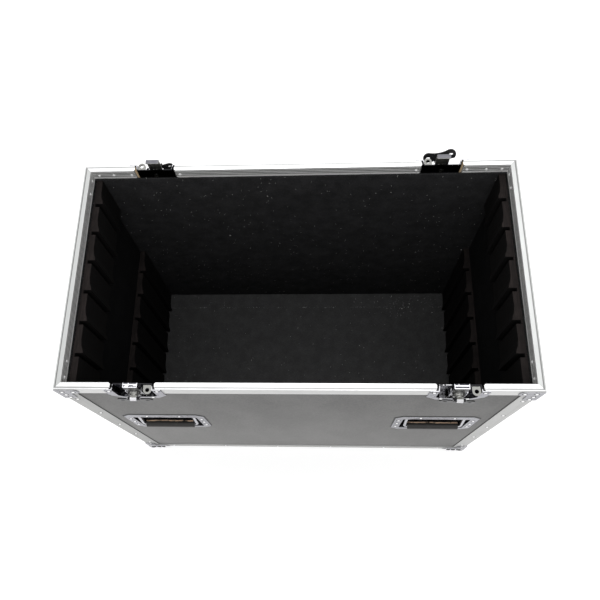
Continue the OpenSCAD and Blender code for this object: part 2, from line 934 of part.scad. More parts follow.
// Rivets on one face of a corner: brace, corner angle and ball corner
module corner_rivets() {
  for (p = brace_holes)
    rivet_out(p[0], rim_z - brace_top - p[1], -plate_t);
  for (z = spread(foot_h + ball_leg + rivet_margin, rim_z - brace_top - brace_drop - rivet_margin))
    rivet_out(angle_leg / 2, z);
  rivet_out(ball_leg - rivet_inset, foot_h + ball_leg_w / 2, -plate_t);
  rivet_out(ball_leg_w / 2, foot_h + ball_leg - rivet_inset, -plate_t);
}

// Rivets along the middle of a bottom angle
module bottom_rivets(length)
  for (x = spread(-length / 2 + ball_leg + rivet_margin, length / 2 - ball_leg - rivet_margin))
    rivet_out(x, foot_h + angle_leg / 2);

// Pairs of rivets near both ends of an inner lip
module lip_rivets(length)
  for (s = [-1, 1])
    for (d = [rim_t + lip_rivet_first, rim_t + lip_rivet_first + lip_rivet_pair])
      rivet_in(s * (length / 2 - d), rim_z - lip_rivet_drop);

module latch_rivets(i)
  at_latch(i)
    for (s = [-1, 1]) {
      rivet_out(s * (latch_recess_w / 2 + ear_rivet_out), -ear_rivet_drop, -plate_t);
      rivet_out(s * (flange_foot_w / 2 - foot_rivet_in), -latch_flange_h + foot_rivet_up, wall_t - plate_t);
      rivet_in(s * (latch_cut_w / 2 + rivet_inset), -lip_rivet_drop);
    }

module handle_rivets(i)
  at_handle(i)
    for (s = [-1, 1]) {
      for (z = [-1, 0, 1])
        rivet_out(s * (handle_w + recess_w) / 4, z * recess_h / 3 - recess_low, -plate_t);
      for (x = [-1, 1])
        rivet_out(x * recess_w / 4, s * (handle_h + recess_h) / 4 - recess_low / 2, -plate_t);
    }

module rivets()
  color("white") {
    for (i = [0 : 3]) {
      at_corner(i) {
        corner_rivets();
        mirror([1, -1, 0]) corner_rivets();
      }
      latch_rivets(i);
      handle_rivets(i);
    }
    for (side = [0, 1]) {
      on_face(side) {
        bottom_rivets(case_w);
        lip_rivets(case_w);
      }
      on_end(side) {
        bottom_rivets(case_d);
        lip_rivets(case_d);
      }
    }
  }

panel_long(0);  // panel_front
panel_long(1);  // panel_back
panel_end(0);  // panel_left
panel_end(1);  // panel_right
panel_bottom();
lining_long(0);  // lining_front
lining_long(1);  // lining_back
lining_end(0);  // lining_left
lining_end(1);  // lining_right
floor_mat();
comb_upper(0);  // comb_upper_left
comb_upper(1);  // comb_upper_right
comb_lower(0);  // comb_lower_left
comb_lower(1);  // comb_lower_right
rim_long(0);  // rim_front
rim_long(1);  // rim_back
rim_end(0);  // rim_left
rim_end(1);  // rim_right
corner_angle(0);  // corner_angle_front_left
corner_angle(1);  // corner_angle_front_right
corner_angle(2);  // corner_angle_back_left
corner_angle(3);  // corner_angle_back_right
bottom_angle_long(0);  // bottom_angle_front
bottom_angle_long(1);  // bottom_angle_back
bottom_angle_end(0);  // bottom_angle_left
bottom_angle_end(1);  // bottom_angle_right
ball_corner(0);  // ball_corner_front_left
ball_corner(1);  // ball_corner_front_right
ball_corner(2);  // ball_corner_back_left
ball_corner(3);  // ball_corner_back_right
corner_braces();
latch_dish(0);  // latch_dish_front_left
latch_dish(1);  // latch_dish_front_right
latch_dish(2);  // latch_dish_back_left
latch_dish(3);  // latch_dish_back_right
latch_hub(0);  // latch_hub_front_left
latch_hub(1);  // latch_hub_front_right
latch_hub(2);  // latch_hub_back_left
latch_hub(3);  // latch_hub_back_right
latch_wing(0);  // latch_wing_front_left
latch_wing(1);  // latch_wing_front_right
latch_wing(2);  // latch_wing_back_left
latch_wing(3);  // latch_wing_back_right
hook_arm(0);  // hook_arm_front_left
hook_arm(1);  // hook_arm_front_right
hook_arm(2);  // hook_arm_back_left
hook_arm(3);  // hook_arm_back_right
handle_dish(0);  // handle_dish_front_left
handle_dish(1);  // handle_dish_front_right
handle_dish(2);  // handle_dish_back_left
handle_dish(3);  // handle_dish_back_right
handle_bail(0);  // handle_bail_front_left
handle_bail(1);  // handle_bail_front_right
handle_bail(2);  // handle_bail_back_left
handle_bail(3);  // handle_bail_back_right
handle_grip(0);  // handle_grip_front_left
handle_grip(1);  // handle_grip_front_right
handle_grip(2);  // handle_grip_back_left
handle_grip(3);  // handle_grip_back_right
rivets();
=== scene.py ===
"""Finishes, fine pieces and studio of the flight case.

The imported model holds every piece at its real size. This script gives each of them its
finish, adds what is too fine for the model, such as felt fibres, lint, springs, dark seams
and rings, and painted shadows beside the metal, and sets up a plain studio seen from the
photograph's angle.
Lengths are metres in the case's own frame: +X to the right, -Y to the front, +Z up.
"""

import json
import logging
import math
from dataclasses import dataclass, field
from enum import Enum
from typing import Any, Iterable

import bpy
import numpy as np
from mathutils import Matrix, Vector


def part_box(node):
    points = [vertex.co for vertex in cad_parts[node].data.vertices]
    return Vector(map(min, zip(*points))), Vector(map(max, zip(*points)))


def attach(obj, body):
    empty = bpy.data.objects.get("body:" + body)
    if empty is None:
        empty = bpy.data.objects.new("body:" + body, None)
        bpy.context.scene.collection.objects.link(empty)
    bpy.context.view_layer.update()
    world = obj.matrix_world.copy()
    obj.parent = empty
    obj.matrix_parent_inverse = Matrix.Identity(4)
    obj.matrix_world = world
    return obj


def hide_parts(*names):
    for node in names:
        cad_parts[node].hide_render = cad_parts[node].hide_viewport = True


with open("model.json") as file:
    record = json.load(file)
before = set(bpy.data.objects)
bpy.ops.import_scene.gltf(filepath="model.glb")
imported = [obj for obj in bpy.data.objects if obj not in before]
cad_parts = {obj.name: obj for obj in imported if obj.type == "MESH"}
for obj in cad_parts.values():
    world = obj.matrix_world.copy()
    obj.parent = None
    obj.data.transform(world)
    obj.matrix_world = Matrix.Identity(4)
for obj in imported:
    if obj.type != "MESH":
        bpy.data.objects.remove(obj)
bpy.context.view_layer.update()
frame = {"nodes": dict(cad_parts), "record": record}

MM = 0.001
RIM_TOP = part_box("rim_front")[1][2]
PANEL_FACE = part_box("panel_back")[1][1]
LOG = logging.getLogger("flight_case")

Colour = tuple[float, float, float]
Vector3 = tuple[float, float, float]


class Place(Enum):
    """The four places at which latches, handles and corner pieces sit."""

    FRONT_LEFT = "front_left"
    FRONT_RIGHT = "front_right"
    BACK_LEFT = "back_left"
    BACK_RIGHT = "back_right"

    @property
    def x_sign(self) -> int:
        """Returns -1 on the left and 1 on the right."""
        return -1 if self.value.endswith("left") else 1

    @property
    def y_sign(self) -> int:
        """Returns -1 at the front and 1 at the back."""
        return -1 if self.value.startswith("front") else 1


class Side(Enum):
    """The four walls of the case."""

    FRONT = "front"
    BACK = "back"
    LEFT = "left"
    RIGHT = "right"

    @property
    def is_long(self) -> bool:
        """Returns whether the wall runs along X."""
        return self in (Side.FRONT, Side.BACK)

    @property
    def sign(self) -> int:
        """Returns -1 on the front and left, and 1 on the back and right."""
        return -1 if self in (Side.FRONT, Side.LEFT) else 1


class Grain(Enum):
    """The direction in which a bar was drawn; the value scales a pattern's coordinates."""

    ALONG_X = (0.012, 1.0, 1.0)
    ALONG_Y = (1.0, 0.012, 1.0)
    ALONG_Z = (1.0, 1.0, 0.012)
    NONE = (1.0, 1.0, 1.0)


class Held(Enum):
    """How a sheet of felt is held."""

    GLUED = "stretched"
    LAID = "laid"


class Sock:
    """A node's output that takes part in arithmetic; each operation adds a Math node."""

    def __init__(self, graph: "Graph", socket: bpy.types.NodeSocket | None) -> None:
        """Keeps the graph and the output socket."""
        self.graph = graph
        self.socket = socket

    def _math(self, operation: str, *values: "Sock | float") -> "Sock":
        """Adds a Math node for one operation on the values, in order."""
        sockets = dict(enumerate(values))
        return self.graph.node("ShaderNodeMath", {"operation": operation}, sockets)

    def __add__(self, other: "Sock | float") -> "Sock":
        """Returns self + other."""
        return self._math("ADD", self, other)

    __radd__ = __add__

    def __sub__(self, other: "Sock | float") -> "Sock":
        """Returns self - other."""
        return self._math("SUBTRACT", self, other)

    def __rsub__(self, other: "Sock | float") -> "Sock":
        """Returns other - self."""
        return self._math("SUBTRACT", other, self)

    def __mul__(self, other: "Sock | float") -> "Sock":
        """Returns self * other."""
        return self._math("MULTIPLY", self, other)

    __rmul__ = __mul__

    def __truediv__(self, other: "Sock | float") -> "Sock":
        """Returns self / other."""
        return self._math("DIVIDE", self, other)

    def __abs__(self) -> "Sock":
        """Returns the value without its sign."""
        return self._math("ABSOLUTE", self)

    def sine(self) -> "Sock":
        """Returns the sine of the value in radians."""
        return self._math("SINE", self)

    def ramp(self, low: float, high: float) -> "Sock":
        """Maps low to 0 and high to 1 in a smooth step; high may be below low."""
        return self.graph.node(
            "ShaderNodeMapRange",
            {"interpolation_type": "SMOOTHSTEP"},
            {"Value": self, "From Min": low, "From Max": high},
        )


class Graph:
    """The node tree of one material or world, with the ways to add to it."""

    def __init__(self, tree: bpy.types.NodeTree) -> None:
        """Takes over an emptied node tree."""
        self.tree = tree
        tree.nodes.clear()

    def node(
        self,
        kind: str,
        settings: dict[str, Any] | None = None,
        sockets: dict[int | str, Any] | None = None,
        out: int | str = 0,
    ) -> Sock:
        """Adds a node, sets its settings and then feeds its sockets.

        Args:
            kind: The node's type name.
            settings: Properties of the node by name.
            sockets: Values or links of its inputs, by index or name.
            out: The output wanted, by index or name.

        Returns:
            The wanted output; a node that ends a graph has none.
        """
        made = self.tree.nodes.new(kind)
        for name, value in (settings or {}).items():
            setattr(made, name, value)
        for key, value in (sockets or {}).items():
            if isinstance(value, Sock):
                self.tree.links.new(value.socket, made.inputs[key])
            elif isinstance(value, tuple) and made.inputs[key].type == "RGBA":
                made.inputs[key].default_value = (*value, 1.0)
            else:
                made.inputs[key].default_value = value
        return Sock(self, made.outputs[out] if len(made.outputs) else None)

    def place(self) -> Sock:
        """Returns the point's object coordinates."""
        return self.node("ShaderNodeTexCoord", out="Object")

    def along(self, vector: Sock, axis: str) -> Sock:
        """Returns one coordinate of a vector, named X, Y or Z."""
        return self.node("ShaderNodeSeparateXYZ", sockets={0: vector}, out=axis)

    def stretch(self, vector: Sock, scale: Vector3) -> Sock:
        """Returns the vector with its coordinates scaled one by one."""
        return self.node("ShaderNodeVectorMath", {"operation": "MULTIPLY"}, {0: vector, 1: scale})

    def noise(self, vector: Sock, scale: float, detail: float = 2.0, rough: float = 0.5) -> Sock:
        """Adds a noise that centres on 0.5 and has scale cells per metre."""
        sockets = {"Vector": vector, "Scale": scale, "Detail": detail, "Roughness": rough}
        return self.node("ShaderNodeTexNoise", sockets=sockets)

    def specks(self, vector: Sock, scale: float, size: float, share: float) -> Sock:
        """Adds sparse round specks, one at most in each cell.

        Args:
            vector: Where the pattern is read.
            scale: Cells per metre.
            size: Radius of a speck as a share of its cell.
            share: Share of the cells that hold one.

        Returns:
            1 in a speck and 0 elsewhere.
        """
        settings = {"feature": "F1"}
        sockets = {"Vector": vector, "Scale": scale}
        near = self.node("ShaderNodeTexVoronoi", settings, sockets, "Distance")
        tint = self.node("ShaderNodeTexVoronoi", settings, sockets, "Color")
        chosen = self.along(tint, "X").ramp(share, share * 0.9)
        return near.ramp(size, size * 0.6) * chosen

    def band(self, value: Sock, low: float, high: float, soft: float) -> Sock:
        """Returns 1 where the value lies between low and high and 0 elsewhere, with soft edges."""
        return value.ramp(low - soft, low + soft) * value.ramp(high + soft, high - soft)

    def mix(self, factor: Sock | float, low: Sock | Colour, high: Sock | Colour) -> Sock:
        """Mixes two colours; a factor of 0 gives low and 1 gives high."""
        settings = {"data_type": "RGBA", "clamp_factor": True}
        return self.node("ShaderNodeMix", settings, {0: factor, 6: low, 7: high}, 2)

    def at(self, axis: str) -> Sock:
        """Returns one of the point's object coordinates, named X, Y or Z."""
        return self.along(self.place(), axis)

    def side(self, axis: str) -> Sock:
        """Returns how far a point lies from the case's middle along an axis, on either side."""
        return abs(self.at(axis))

    def facing(self, axis: str) -> Sock:
        """Returns how far the surface faces along an axis, 0 to 1 either way."""
        normal = self.node("ShaderNodeNewGeometry", out="Normal")
        return abs(self.along(normal, axis))

    def bump(self, height: Sock, strength: float, depth: float) -> Sock:
        """Turns a height from 0 to 1 into a normal; a height of 1 measures depth metres."""
        sockets = {"Height": height, "Strength": strength, "Distance": depth}
        return self.node("ShaderNodeBump", sockets=sockets, out="Normal")

    def surface(self, **sockets: Any) -> None:
        """Ends the graph in a Principled shader; names use _ for the socket's spaces.

        Args:
            sockets: Values or links of the shader's inputs by name.
        """
        spaced = {name.replace("_", " ").title(): value for name, value in sockets.items()}
        named = {name.replace("Ior", "IOR"): value for name, value in spaced.items()}
        shader = self.node("ShaderNodeBsdfPrincipled", sockets=named, out="BSDF")
        self.node("ShaderNodeOutputMaterial", sockets={"Surface": shader})


@dataclass(frozen=True)
class Finish:
    """A finish of the case; each kind paints its own material."""

    name: str
    slot: str

    def paint(self, graph: Graph) -> None:
        """Builds the finish in an empty graph."""
        raise NotImplementedError

    def material(self) -> bpy.types.Material:
        """Finds the finish's material, or paints it on first use; no CAD colour bears its name.

        Returns:
            The material.
        """
        name = f"{self.name}_finish"
        found = bpy.data.materials.get(name)
        if found is None:
            found = bpy.data.materials.new(name)
            found.use_nodes = True
            self.paint(Graph(found.node_tree))
        return found


@dataclass(frozen=True)
class Laminate(Finish):
    """Grey pebbled laminate on plywood, whose veneers show at the outer cuts of the back.

    They glow faintly, by lift, since a sliver of bare wood would be lost in the shade. The other cuts are
    dark, with painted shade on the inner cuts of the back.
    """

    colour: Colour = (0.118, 0.117, 0.115)
    birch: Colour = (0.86, 0.66, 0.42)
    # Dark tone of the cuts that show no birch: painted shade on the inner cuts of the back.
    shaded_cut: Colour = (0.035, 0.033, 0.030)
    veneer: float = 1.4 * MM
    wall_end: float = 0.397
    bare_from: tuple[float, float] = (0.26, 0.275)
    lift: float = 0.16

    def paint(self, graph: Graph) -> None:
        """Pebbles are fine cells; cloudy noise shifts the grey and the gloss.

        Args:
            graph: The material's empty graph.
        """
        place = graph.place()
        pebbles = graph.noise(place, 420, 3, 0.65)
        coarse = graph.noise(place, 150, 2, 0.6)
        cloud = graph.noise(graph.stretch(place, (1, 1, 0.5)), 12, 4, 0.55)
        # Painted light: the grey is lighter towards the bottom and towards the left, where more light
        # falls.
        low = graph.at("Z").ramp(0.64, 0.06)
        aside = graph.at("X") * -0.22
        fine = pebbles.ramp(0.25, 0.75) * 0.28 + coarse.ramp(0.3, 0.7) * 0.12
        tone = fine + cloud.ramp(0.35, 0.65) * 0.20 + low * 0.42 + aside + 0.05
        dark = tuple(0.45 * c for c in self.colour)
        light = tuple(1.60 * c for c in self.colour)
        grey = graph.mix(tone, dark, light)
        depth = graph.at("Y")
        plies = (depth * (2 * math.pi / self.veneer)).sine().ramp(-0.3, 0.3)
        fibres = graph.noise(graph.stretch(place, (1, 1, 0.1)), 700, 3)
        dim = tuple(0.55 * c for c in self.birch)
        wood = graph.mix(plies * 0.6 + fibres * 0.4, dim, self.birch)
        long_wall = graph.side("X").ramp(self.wall_end, self.wall_end - 1.0 * MM)
        cut = graph.facing("Y").ramp(0.5, 0.4) * graph.facing("X").ramp(0.6, 0.7) * long_wall
        # Only the outer cuts of the back show birch. The others take the dark tone, which is painted shade
        # on the inner cuts of the back.
        bare = graph.side("X").ramp(*self.bare_from) * depth.ramp(-0.1, 0.1)
        wood = graph.mix(bare, self.shaded_cut, wood)
        graph.surface(
            base_color=graph.mix(cut, grey, wood),
            roughness=0.46 + 0.14 * cloud + 0.3 * cut,
            specular_ior_level=0.12,
            emission_color=graph.mix(cut * bare, (0.0, 0.0, 0.0), self.birch),
            emission_strength=self.lift,
            normal=graph.bump(pebbles, 0.40, 0.5 * MM),
        )


@dataclass(frozen=True)
class Felt(Finish):
    """Black needle felt or short-pile mat with specks of lint."""

    colour: Colour = (0.014, 0.014, 0.0145)
    light: Colour = (0.042, 0.042, 0.044)
    pile: float = 700.0
    lint: float = 0.07
    fleck: float = 0.35
    hair: Colour = (0.16, 0.16, 0.16)
    fluff: Colour = (0.80, 0.80, 0.77)

    def paint(self, graph: Graph) -> None:
        """Noises of three sizes make the pile, another the flecks, and sparse cells the lint.

        Args:
            graph: The material's empty graph.
        """
        place = graph.place()
        tufts = graph.noise(place, self.pile, 3, 0.7)
        matted = graph.noise(place, 38, 4, 0.6)
        hairs = graph.noise(graph.stretch(place, (0.25, 1, 1)), self.pile * 1.7, 2)
        tone = tufts * 0.55 + hairs * 0.3 + matted * 0.35
        base = graph.mix(tone.ramp(0.42, 0.95), self.colour, self.light)
        flecks = graph.noise(place, 430, 2, 0.7).ramp(0.60, 0.76)
        base = graph.mix(flecks * self.fleck, base, self.hair)
        lint = graph.specks(place, 260, 0.17, self.lint)
        graph.surface(
            base_color=graph.mix(lint, base, self.fluff),
            roughness=0.96 - 0.08 * matted,
            specular_ior_level=0.05,
            normal=graph.bump(tufts * 0.7 + hairs * 0.3, 0.7, 0.8 * MM),
        )


@dataclass(frozen=True)
class StainedBoard(Finish):
    """Blackened board, sawn: faint saw lines, browner where its black staining is thin, and lighter on
    faces that look up, partly bare sawn wood and partly painted light.
    """

    colour: Colour = (0.0040, 0.0036, 0.0035)
    thin: Colour = (0.024, 0.019, 0.018)

    def paint(self, graph: Graph) -> None:
        """Patchy noise thins the staining, faces that look up are painted lighter, and saw lines run along
        the board.

        Args:
            graph: The material's empty graph.
        """
        place = graph.place()
        patches = graph.noise(place, 32, 4, 0.6)
        fibres = graph.noise(graph.stretch(place, (1, 0.06, 1)), 600, 3)
        # Painted light: faces that look up are lighter and browner, partly the bare wood of the sawn tops
        # and partly painted light from above.
        ends = graph.facing("Z").ramp(0.4, 0.8)
        grain = fibres.ramp(0.3, 0.7) * patches.ramp(0.3, 0.6)
        stain_and_top_light = patches.ramp(0.5, 0.8) * 0.08 + ends * (0.35 + 0.6 * grain)
        graph.surface(
            base_color=graph.mix(stain_and_top_light, self.colour, self.thin),
            roughness=0.72 + 0.2 * fibres,
            specular_ior_level=0.12,
            normal=graph.bump(fibres, 0.35, 0.3 * MM),
        )


@dataclass(frozen=True)
class Aluminium(Finish):
    """Mill-finish extrusion: die lines along the bar, smudges and fine scratches."""

    grain: Grain = Grain.ALONG_X
    # Painted light: the tone of faces that look up, then that of upright faces.
    lit_top: Colour = (0.86, 0.865, 0.87)
    dull: Colour = (0.46, 0.46, 0.455)
    rough: float = 0.34
    oxide: float = 0.5

    def paint(self, graph: Graph) -> None:
        """Noise drawn out along the bar gives the die lines; soft noise the smudges.

        Faces that look up take the lit top's tone and the others a dull, less metallic skin: painted
        light, by how the light falls on them.

        Args:
            graph: The material's empty graph.
        """
        place = graph.place()
        drawn = graph.stretch(place, self.grain.value)
        lines = graph.noise(drawn, 1500, 3, 0.6)
        smudge = graph.noise(place, 13, 5, 0.62)
        scratch = graph.noise(graph.stretch(place, (1, 1, 0.3)), 420, 1).ramp(0.70, 0.74)
        # Painted light: faces that look up and upright faces get their own tones, by how the light falls
        # on them.
        upward = graph.facing("Z").ramp(0.35, 0.8)
        skin = graph.mix(upward * (1.15 - 0.5 * smudge), self.dull, self.lit_top)
        graph.surface(
            base_color=self.dirt_and_shade(graph, place, skin),
            metallic=1.0 - self.oxide * (1.0 - upward),
            roughness=self.rough + 0.22 * (smudge - 0.5) + 0.12 * (lines - 0.5) + 0.15 * scratch,
            normal=graph.bump(lines + scratch * 0.4, 0.12, 0.12 * MM),
        )

    def dirt_and_shade(self, graph: Graph, place: Sock, skin: Sock) -> Sock:
        """Returns the skin with its dirt and its painted light and shade; a plain bar has none."""
        return skin


@dataclass(frozen=True)
class RimMetal(Aluminium):
    """Rim extrusion: painted shade darkens its grooves, and the inner lip is painted bright as a
    highlight.
    """

    half: float = 0.215
    across: str = "Y"
    # Painted light: a highlight on the inner lip, then the painted shade of the grooves and of the lip's
    # top edge.
    lip_highlight: Colour = (0.98, 0.98, 0.97)
    dirt: Colour = (0.03, 0.03, 0.03)
    lip_at: float = 11.2 * MM
    groove_at: float = 6.7 * MM
    pitch: float = 5.0 * MM

    def dirt_and_shade(self, graph: Graph, place: Sock, skin: Sock) -> Sock:
        """Painted light and shade by depth below the rim's top and by distance in from its outer face.

        The inner lip is painted bright as a highlight. Painted shade fills the groove beside the
        bead, the grooves of the lip, which repeat every pitch from groove_at down, and a line along
        the lip's top edge.

        Args:
            graph: The material's graph.
            place: The point's object coordinates; not used.
            skin: The colour of the clean metal.

        Returns:
            The colour with its painted light and shade.
        """
        below = RIM_TOP - graph.at("Z")
        inward = self.half - graph.side(self.across)
        lip = inward.ramp(self.lip_at, self.lip_at + 0.2 * MM) * below.ramp(0.25 * MM, 0.45 * MM)
        wave = ((below - self.groove_at) * (2 * math.pi / self.pitch) + math.pi / 2).sine()
        grooves = wave.ramp(0.0, 0.4) * graph.band(below, 5.0 * MM, 18.5 * MM, 0.3 * MM)
        edge = graph.band(below, 0.5 * MM, 2.4 * MM, 0.3 * MM)
        channel = graph.band(inward, 2.5 * MM, 4.1 * MM, 0.1 * MM)
        channel = channel * graph.band(below, 0.5 * MM, 1.6 * MM, 0.2 * MM)
        # Painted highlight on the inner lip, then painted shade in its grooves, along its top edge and in
        # the groove beside the bead.
        skin = graph.mix(lip, skin, self.lip_highlight)
        return graph.mix(lip * (grooves * 0.9 + edge * 0.8) + channel * 0.6, skin, self.dirt)


@dataclass(frozen=True)
class AngleMetal(Aluminium):
    """Angle extrusion: a patina with grey runs, deeper towards the left end of the case."""

    lit_top: Colour = (0.5, 0.5, 0.5)
    dull: Colour = (0.36, 0.36, 0.355)
    rough: float = 0.42
    runs: Colour = (0.16, 0.16, 0.155)

    def dirt_and_shade(self, graph: Graph, place: Sock, skin: Sock) -> Sock:
        """Noise drawn out along the bar makes the runs, and the patina goes by X.

        Args:
            graph: The material's graph.
            place: The point's object coordinates.
            skin: The colour of the clean metal.

        Returns:
            The colour with its dirt.
        """
        streaks = graph.noise(graph.stretch(place, self.grain.value), 260, 4, 0.65).ramp(0.48, 0.75)
        left = graph.at("X").ramp(-0.25, -0.38)
        return graph.mix(streaks * 0.35 + left * 0.38, skin, self.runs)


@dataclass(frozen=True)
class Plated(Finish):
    """Bright plated pressed steel: slightly wavy sheet, handling marks and dull spots."""

    colour: Colour = (0.66, 0.66, 0.68)
    dull: Colour = (0.36, 0.36, 0.37)
    edge: Colour = (0.55, 0.55, 0.57)
    rough: float = 0.13
    wave: float = 0.55

    def paint(self, graph: Graph) -> None:
        """Slow noise bends the reflections, and marks raise the roughness.

        Args:
            graph: The material's empty graph.
        """
        place = graph.place()
        waves = graph.noise(place, 46, 2)
        marks = graph.noise(place, 150, 5, 0.7)
        spots = graph.specks(place, 520, 0.2, 0.10)
        skin = graph.mix(marks.ramp(0.45, 0.8) * 0.7 + spots * 0.3, self.colour, self.dull)
        graph.surface(
            base_color=self.dirt_and_shade(graph, place, skin),
            metallic=1.0,
            specular_tint=self.edge,
            roughness=self.rough + 0.16 * marks.ramp(0.4, 0.8) + 0.15 * spots,
            normal=graph.bump(waves * 0.85 + marks * 0.15, self.wave, 1.6 * MM),
        )

    def dirt_and_shade(self, graph: Graph, place: Sock, skin: Sock) -> Sock:
        """Returns the skin with its dirt and its painted light and shade; a plain plate has none."""
        return skin


@dataclass(frozen=True)
class DishPlating(Plated):
    """Plating of a recessed dish: bright on its flange, and painted dark with shade further in, but for
    lighter patches.
    """

    colour: Colour = (0.52, 0.52, 0.54)
    dull: Colour = (0.17, 0.17, 0.175)
    # Painted shade: the dark tone of the recess, then the lighter tone where it is left out in patches.
    recess_shade: Colour = (0.022, 0.022, 0.024)
    inner: Colour = (0.46, 0.46, 0.47)
    tab: Colour = (0.21, 0.21, 0.20)
    # The noise level above which the back wall is left free of painted shade.
    clean: float = 0.50
    back_wall: tuple[float, float] = (0.2065, 0.2075)
    # The X range of the spots by the front right hub that are left free of painted shade.
    lit_spots: tuple[float, float] = (0.228, 0.253)

    def dirt_and_shade(self, graph: Graph, place: Sock, skin: Sock) -> Sock:
        """Painted shade by depth behind the panel's face, left out in noisy patches on the back wall; the
        padlock tab under the rim's top is grey where it looks up and painted dark, as shade, on upright
        faces.

        To the left of the front right latch's hub, the painted shade is left out in spots.

        Args:
            graph: The material's graph.
            place: The point's object coordinates.
            skin: The colour of the clean metal.

        Returns:
            The colour with its painted shade.
        """
        depth = graph.side("Y")
        deep_shade = depth.ramp(PANEL_FACE - 0.2 * MM, PANEL_FACE - 2.5 * MM)
        patch = graph.noise(place, 62, 3, 0.6).ramp(self.clean - 0.06, self.clean + 0.06)
        patch = patch * depth.ramp(*self.back_wall)
        lit_spots = graph.band(graph.at("X"), *self.lit_spots, 1.0 * MM)
        lit_spots = lit_spots * graph.at("Y").ramp(0.0, -0.1) * graph.at("Z").ramp(0.56, 0.58)
        patch = patch + lit_spots * graph.noise(place, 230, 3, 0.6).ramp(0.42, 0.52)
        # The tab's upright faces are painted dark, as shade, and its faces that look up are grey.
        below = RIM_TOP - graph.at("Z")
        tab = graph.band(below, 3.6 * MM, 6.9 * MM, 0.1 * MM)
        # Painted shade in the recess, lighter in the patches where it is left out.
        skin = graph.mix(deep_shade, skin, graph.mix(patch, self.recess_shade, self.inner))
        return graph.mix(tab, skin, graph.mix(graph.facing("Z").ramp(0.5, 0.8), self.recess_shade, self.tab))


@dataclass(frozen=True)
class HookPlating(Plated):
    """Plating of a latch's moving steel, with painted light: one tone for its top and one for upright
    faces.
    """

    rough: float = 0.2
    wave: float = 0.4
    # Painted light and shade: tones for faces that look up and for upright faces, and a dark tone for
    # steel deep in the dish.
    top: Colour = (0.80, 0.80, 0.82)
    body: Colour = (0.17, 0.17, 0.15)
    tray: Colour = (0.80, 0.80, 0.82)
    shaded_from: float = 0.0
    deep_shade: Colour = (0.07, 0.07, 0.07)
    hub_x: float = 0.267
    bands: tuple[tuple[float, float], ...] = ((0.2000, 0.2086), (0.2106, 0.2134))
    band_end: tuple[float, float] = (11.4 * MM, 10.8 * MM)
    lining_at: tuple[float, float] = (0.2052, 0.2046)

    def dirt_and_shade(self, graph: Graph, place: Sock, skin: Sock) -> Sock:
        """Painted light: the top's tone by how far a face looks up, crossed by two bands of the tray's
        tone.

        Steel deeper in the dish than a given depth, and ends that reach the lining, are painted dark, as
        shade.

        Args:
            graph: The material's graph.
            place: The point's object coordinates.
            skin: The colour of the clean metal.

        Returns:
            The colour with its painted light and shade.
        """
        upward = graph.facing("Z").ramp(0.5, 0.9)
        depth = graph.side("Y")
        beside = abs(graph.side("X") - self.hub_x)
        first, second = (graph.band(depth, *ends, 0.2 * MM) for ends in self.bands)
        patchy = graph.noise(place, 140, 2).ramp(0.62, 0.52)
        bands = (first + second) * beside.ramp(*self.band_end) * patchy
        top = graph.mix(bands, self.top, self.tray)
        skin = graph.mix(upward, graph.mix(0.65, skin, self.body), top)
        # Painted shade deep in the dish and where the steel reaches the lining.
        dull = depth.ramp(self.shaded_from, self.shaded_from - 2.0 * MM) * 0.8
        dull = dull + depth.ramp(*self.lining_at) * 0.2
        return graph.mix(dull, skin, self.deep_shade)


@dataclass(frozen=True)
class BlackCoat(Finish):
    """Black coated steel, glossy, rubbed bright in places."""

    colour: Colour = (0.012, 0.012, 0.013)
    steel: Colour = (0.30, 0.30, 0.31)

    def paint(self, graph: Graph) -> None:
        """Orange-peel bump, with rubbed patches where the steel shows.

        Args:
            graph: The material's empty graph.
        """
        place = graph.place()
        peel = graph.noise(place, 700, 2)
        rubbed = graph.noise(place, 120, 5, 0.7).ramp(0.66, 0.78)
        graph.surface(
            base_color=graph.mix(rubbed * 0.5, self.colour, self.steel),
            metallic=rubbed * 0.6,
            roughness=0.34 + 0.2 * rubbed,
            specular_ior_level=0.22,
            normal=graph.bump(peel, 0.2, 0.15 * MM),
        )


@dataclass(frozen=True)
class Rubber(Finish):
    """Black moulded rubber with a fine grain and a dusty bloom."""

    colour: Colour = (0.020, 0.019, 0.018)
    # Painted highlight: the cream colour of the line along the grip's top.
    rubbed: Colour = (0.95, 0.68, 0.48)
    dusty: Colour = (0.065, 0.062, 0.060)

    def paint(self, graph: Graph) -> None:
        """Fine grain, a soft bloom, and a painted highlight: a cream line that wanders along the grip's
        top back.

        The line lies where a point's distance towards the panel, from the grip's axis, is
        0.42 to 0.74 of the grip's radius.

        Args:
            graph: The material's empty graph.
        """
        place = graph.place()
        grain = graph.noise(place, 1600, 2)
        bloom = graph.noise(place, 55, 4, 0.6).ramp(0.45, 0.85)
        low, high = (np.array(corner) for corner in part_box("handle_grip_back_left"))
        axis, radius = (low + high) / 2, (high[2] - low[2]) / 2
        behind = (float(axis[1]) - graph.side("Y")) / float(radius)
        wander = (graph.noise(place, 42, 2) - 0.5) * 0.35
        above = graph.at("Z").ramp(float(axis[2]), float(axis[2] + 0.3 * radius))
        # Where the painted highlight runs, along the grip's top back.
        seam = graph.band(behind + wander, 0.42, 0.74, 0.05) * above
        seam = seam * graph.noise(place, 90, 2).ramp(0.36, 0.5)
        shade = graph.mix(bloom * 0.6, self.colour, self.dusty)
        graph.surface(
            base_color=graph.mix(seam, shade, self.rubbed),
            roughness=0.40 + 0.25 * bloom,
            specular_ior_level=0.25,
            normal=graph.bump(grain, 0.25, 0.2 * MM),
        )


